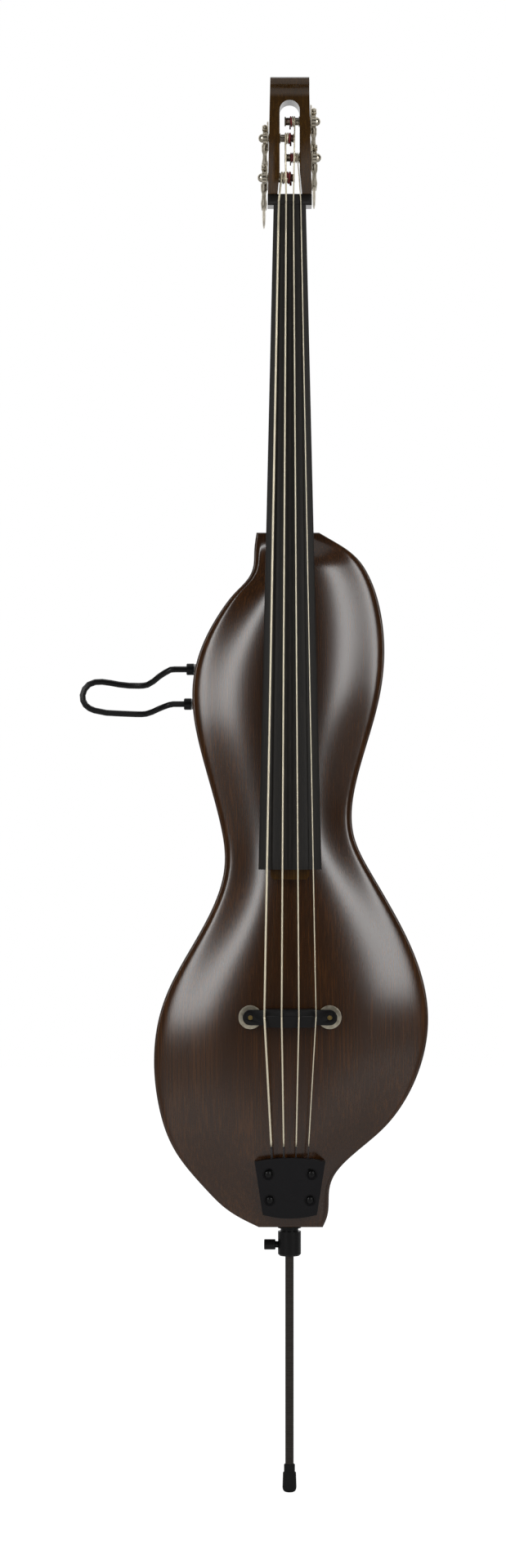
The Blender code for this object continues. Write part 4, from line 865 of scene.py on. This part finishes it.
class BASS_OT_controls(bpy.types.Operator):
    """Finish the controls on the back and add the cover's screws and the knobs' lines"""

    bl_idname = "bass.controls"
    bl_label = "Controls"

    def execute(self, context):
        plastic = moulded("abs_black_textured", "#141414", "#1e1e1e", 0.48)
        smooth(plastic, "control_cover", "battery_door", "volume_knob", "tone_knob", angle=30, edge=0.0003)
        smooth(plated("nickel_jack", "#c8c0ad", "#aaa18e", 0.25), "output_jack", angle=30)
        paint(moulded("glass_epoxy_green", "#0e4a2a", "#14603a", 0.45), "preamp_board")
        paint(coated_metal("can_dark_printed", "#26262c", "#33333a", 0.35), "battery")
        paint(turned_steel("pot_case", "#8c8c8a", "#6c6c6a", 0.4), "volume_pot", "tone_pot")
        black = coated_metal("screw_black", "#111111", "#1d1d1d", 0.35)
        low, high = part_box("control_cover")
        number = 0
        for x in (low.x + COVER_SCREW_INSET, high.x - COVER_SCREW_INSET):
            for z in (low.z + COVER_SCREW_INSET, high.z - COVER_SCREW_INSET):
                number += 1
                slotted_screw(
                    f"cover_screw_{number}", (x, high.y, z), (0, 1, 0), COVER_SCREW_RADIUS,
                    COVER_SCREW_HEIGHT, black, "instrument"
                )
        chalk = moulded("line_white", "#d8d8d4", "#e6e6e2", 0.5)
        for name in ("volume_knob", "tone_knob"):
            low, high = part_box(name)
            centre = (low + high) / 2
            deselect()
            place = (centre.x, high.y, centre.z + LINE_ABOVE_CENTRE)
            bpy.ops.mesh.primitive_cube_add(size=1, location=place)
            line = bpy.context.object
            line.scale = LINE_SIZE
            edge = line.modifiers.new("edge", "BEVEL")
            edge.width = LINE_EDGE
            bpy.ops.object.modifier_apply(modifier=edge.name)
            finish_piece(line, f"{name}_line", chalk, name, 30)
        return {"FINISHED"}


class BASS_OT_stage(bpy.types.Operator):
    """Set the floor, the lights and the camera"""

    bl_idname = "bass.stage"
    bl_label = "Stage"

    def execute(self, context):
        studio = context.scene.bass_studio
        self.floor()
        self.world(studio.fill)
        away, front, height = SIDE_BOX_PLACE
        self.soft_box("side_left", (-away, front, height), SIDE_BOX_SIZE, studio.side_light)
        self.soft_box("side_right", (away, front, height), SIDE_BOX_SIZE, studio.side_light)
        self.soft_box("overhead", TOP_BOX_PLACE, TOP_BOX_SIZE, studio.top_light)
        data = bpy.data.cameras.new("camera")
        data.lens = studio.lens
        data.sensor_width = 36.0
        camera = bpy.data.objects.new("camera", data)
        camera.location = CAMERA_PLACE
        camera.rotation_euler = (math.radians(90), 0, 0)
        context.scene.collection.objects.link(camera)
        context.scene.camera = camera
        context.scene.view_settings.view_transform = "Standard"
        return {"FINISHED"}

    def floor(self):
        """A wide pale floor that the camera sees as white, with the object's shadow on it."""
        deselect()
        bpy.ops.mesh.primitive_plane_add(size=FLOOR_SIZE, location=(0, 0, -FLOOR_BELOW))
        ground = bpy.context.object
        ground.name = "floor"
        made = bpy.data.materials.new("floor_white")
        made.use_nodes = True
        tree = made.node_tree
        tree.nodes.clear()
        white = node(tree, "ShaderNodeEmission", Color=(1, 1, 1, 1), Strength=FLOOR_WHITE)
        matte = node(tree, "ShaderNodeBsdfDiffuse", Color=(0.9, 0.9, 0.9, 1))
        seen = node(tree, "ShaderNodeLightPath")
        clear = self.seen_directly(tree, seen)
        part = node(tree, "ShaderNodeMath", {"operation": "MULTIPLY"}, i0=clear, i1=FLOOR_SHARE)
        both = node(
            tree, "ShaderNodeMixShader", i0=part.outputs[0], i1=matte.outputs[0], i2=white.outputs[0]
        )
        node(tree, "ShaderNodeOutputMaterial", Surface=both.outputs[0])
        ground.data.materials.append(made)

    def world(self, fill):
        """White where the camera looks, and an even grey room for everything else."""
        made = bpy.data.worlds.new("studio")
        bpy.context.scene.world = made
        made.use_nodes = True
        tree = made.node_tree
        tree.nodes.clear()
        seen = node(tree, "ShaderNodeLightPath")
        clear = self.seen_directly(tree, seen)
        toward = node(tree, "ShaderNodeTexCoord").outputs["Generated"]
        direction = node(tree, "ShaderNodeSeparateXYZ", Vector=toward)
        behind = node(tree, "ShaderNodeMapRange", Value=direction.outputs["Y"], From_Min=0.0, From_Max=0.5)
        mirrored = node(
            tree, "ShaderNodeMapRange", Value=behind.outputs["Result"], To_Min=FRONT_MIRRORED, To_Max=1.0
        ).outputs["Result"]
        room = node(tree, "ShaderNodeMix", Factor=seen.outputs["Is Glossy Ray"], A=fill, B=mirrored)
        level = node(tree, "ShaderNodeMix", Factor=clear, A=room.outputs["Result"], B=1.0)
        sky = node(tree, "ShaderNodeBackground", Color=(1, 1, 1, 1), Strength=level.outputs["Result"])
        node(tree, "ShaderNodeOutputWorld", Surface=sky.outputs[0])

    def seen_directly(self, tree, seen):
        """1 for what the camera sees, also through glass, and 0 for light on the object."""
        straight = seen.outputs["Is Camera Ray"]
        through = seen.outputs["Is Transmission Ray"]
        return node(tree, "ShaderNodeMath", {"operation": "MAXIMUM"}, i0=straight, i1=through).outputs[0]

    def soft_box(self, name, place, size, power):
        """A soft box that faces the middle of the object."""
        data = bpy.data.lights.new(name, "AREA")
        data.shape = "RECTANGLE"
        data.size, data.size_y = size
        data.energy = power
        lamp = bpy.data.objects.new(name, data)
        lamp.location = place
        lamp.rotation_euler = (Vector((0, 0, LIT_HEIGHT)) - Vector(place)).to_track_quat("-Z", "Y").to_euler()
        bpy.context.scene.collection.objects.link(lamp)


OPERATORS = (
    BASS_OT_stage, BASS_OT_body, BASS_OT_neck, BASS_OT_machines, BASS_OT_strings, BASS_OT_bridge,
    BASS_OT_tail, BASS_OT_rest, BASS_OT_controls,
)


class BASS_PT_panel(bpy.types.Panel):
    """Lists the steps that finish the bass"""

    bl_label = "Bass"
    bl_idname = "BASS_PT_panel"
    bl_space_type = "VIEW_3D"
    bl_region_type = "UI"
    bl_category = "Bass"

    def draw(self, context):
        for operator in OPERATORS:
            self.layout.operator(operator.bl_idname)


CLASSES = (BassFinishSettings, BassStudioSettings, *OPERATORS, BASS_PT_panel)


def register():
    for item in CLASSES:
        bpy.utils.register_class(item)
    bpy.types.Scene.bass_finish = bpy.props.PointerProperty(type=BassFinishSettings)
    bpy.types.Scene.bass_studio = bpy.props.PointerProperty(type=BassStudioSettings)


def unregister():
    del bpy.types.Scene.bass_studio
    del bpy.types.Scene.bass_finish
    for item in reversed(CLASSES):
        bpy.utils.unregister_class(item)


def main():
    register()
    bpy.ops.bass.stage()
    bpy.ops.bass.body()
    bpy.ops.bass.neck()
    bpy.ops.bass.machines()
    bpy.ops.bass.strings()
    bpy.ops.bass.bridge()
    bpy.ops.bass.tail()
    bpy.ops.bass.rest()
    bpy.ops.bass.controls()


if __name__ == "__main__":
    main()
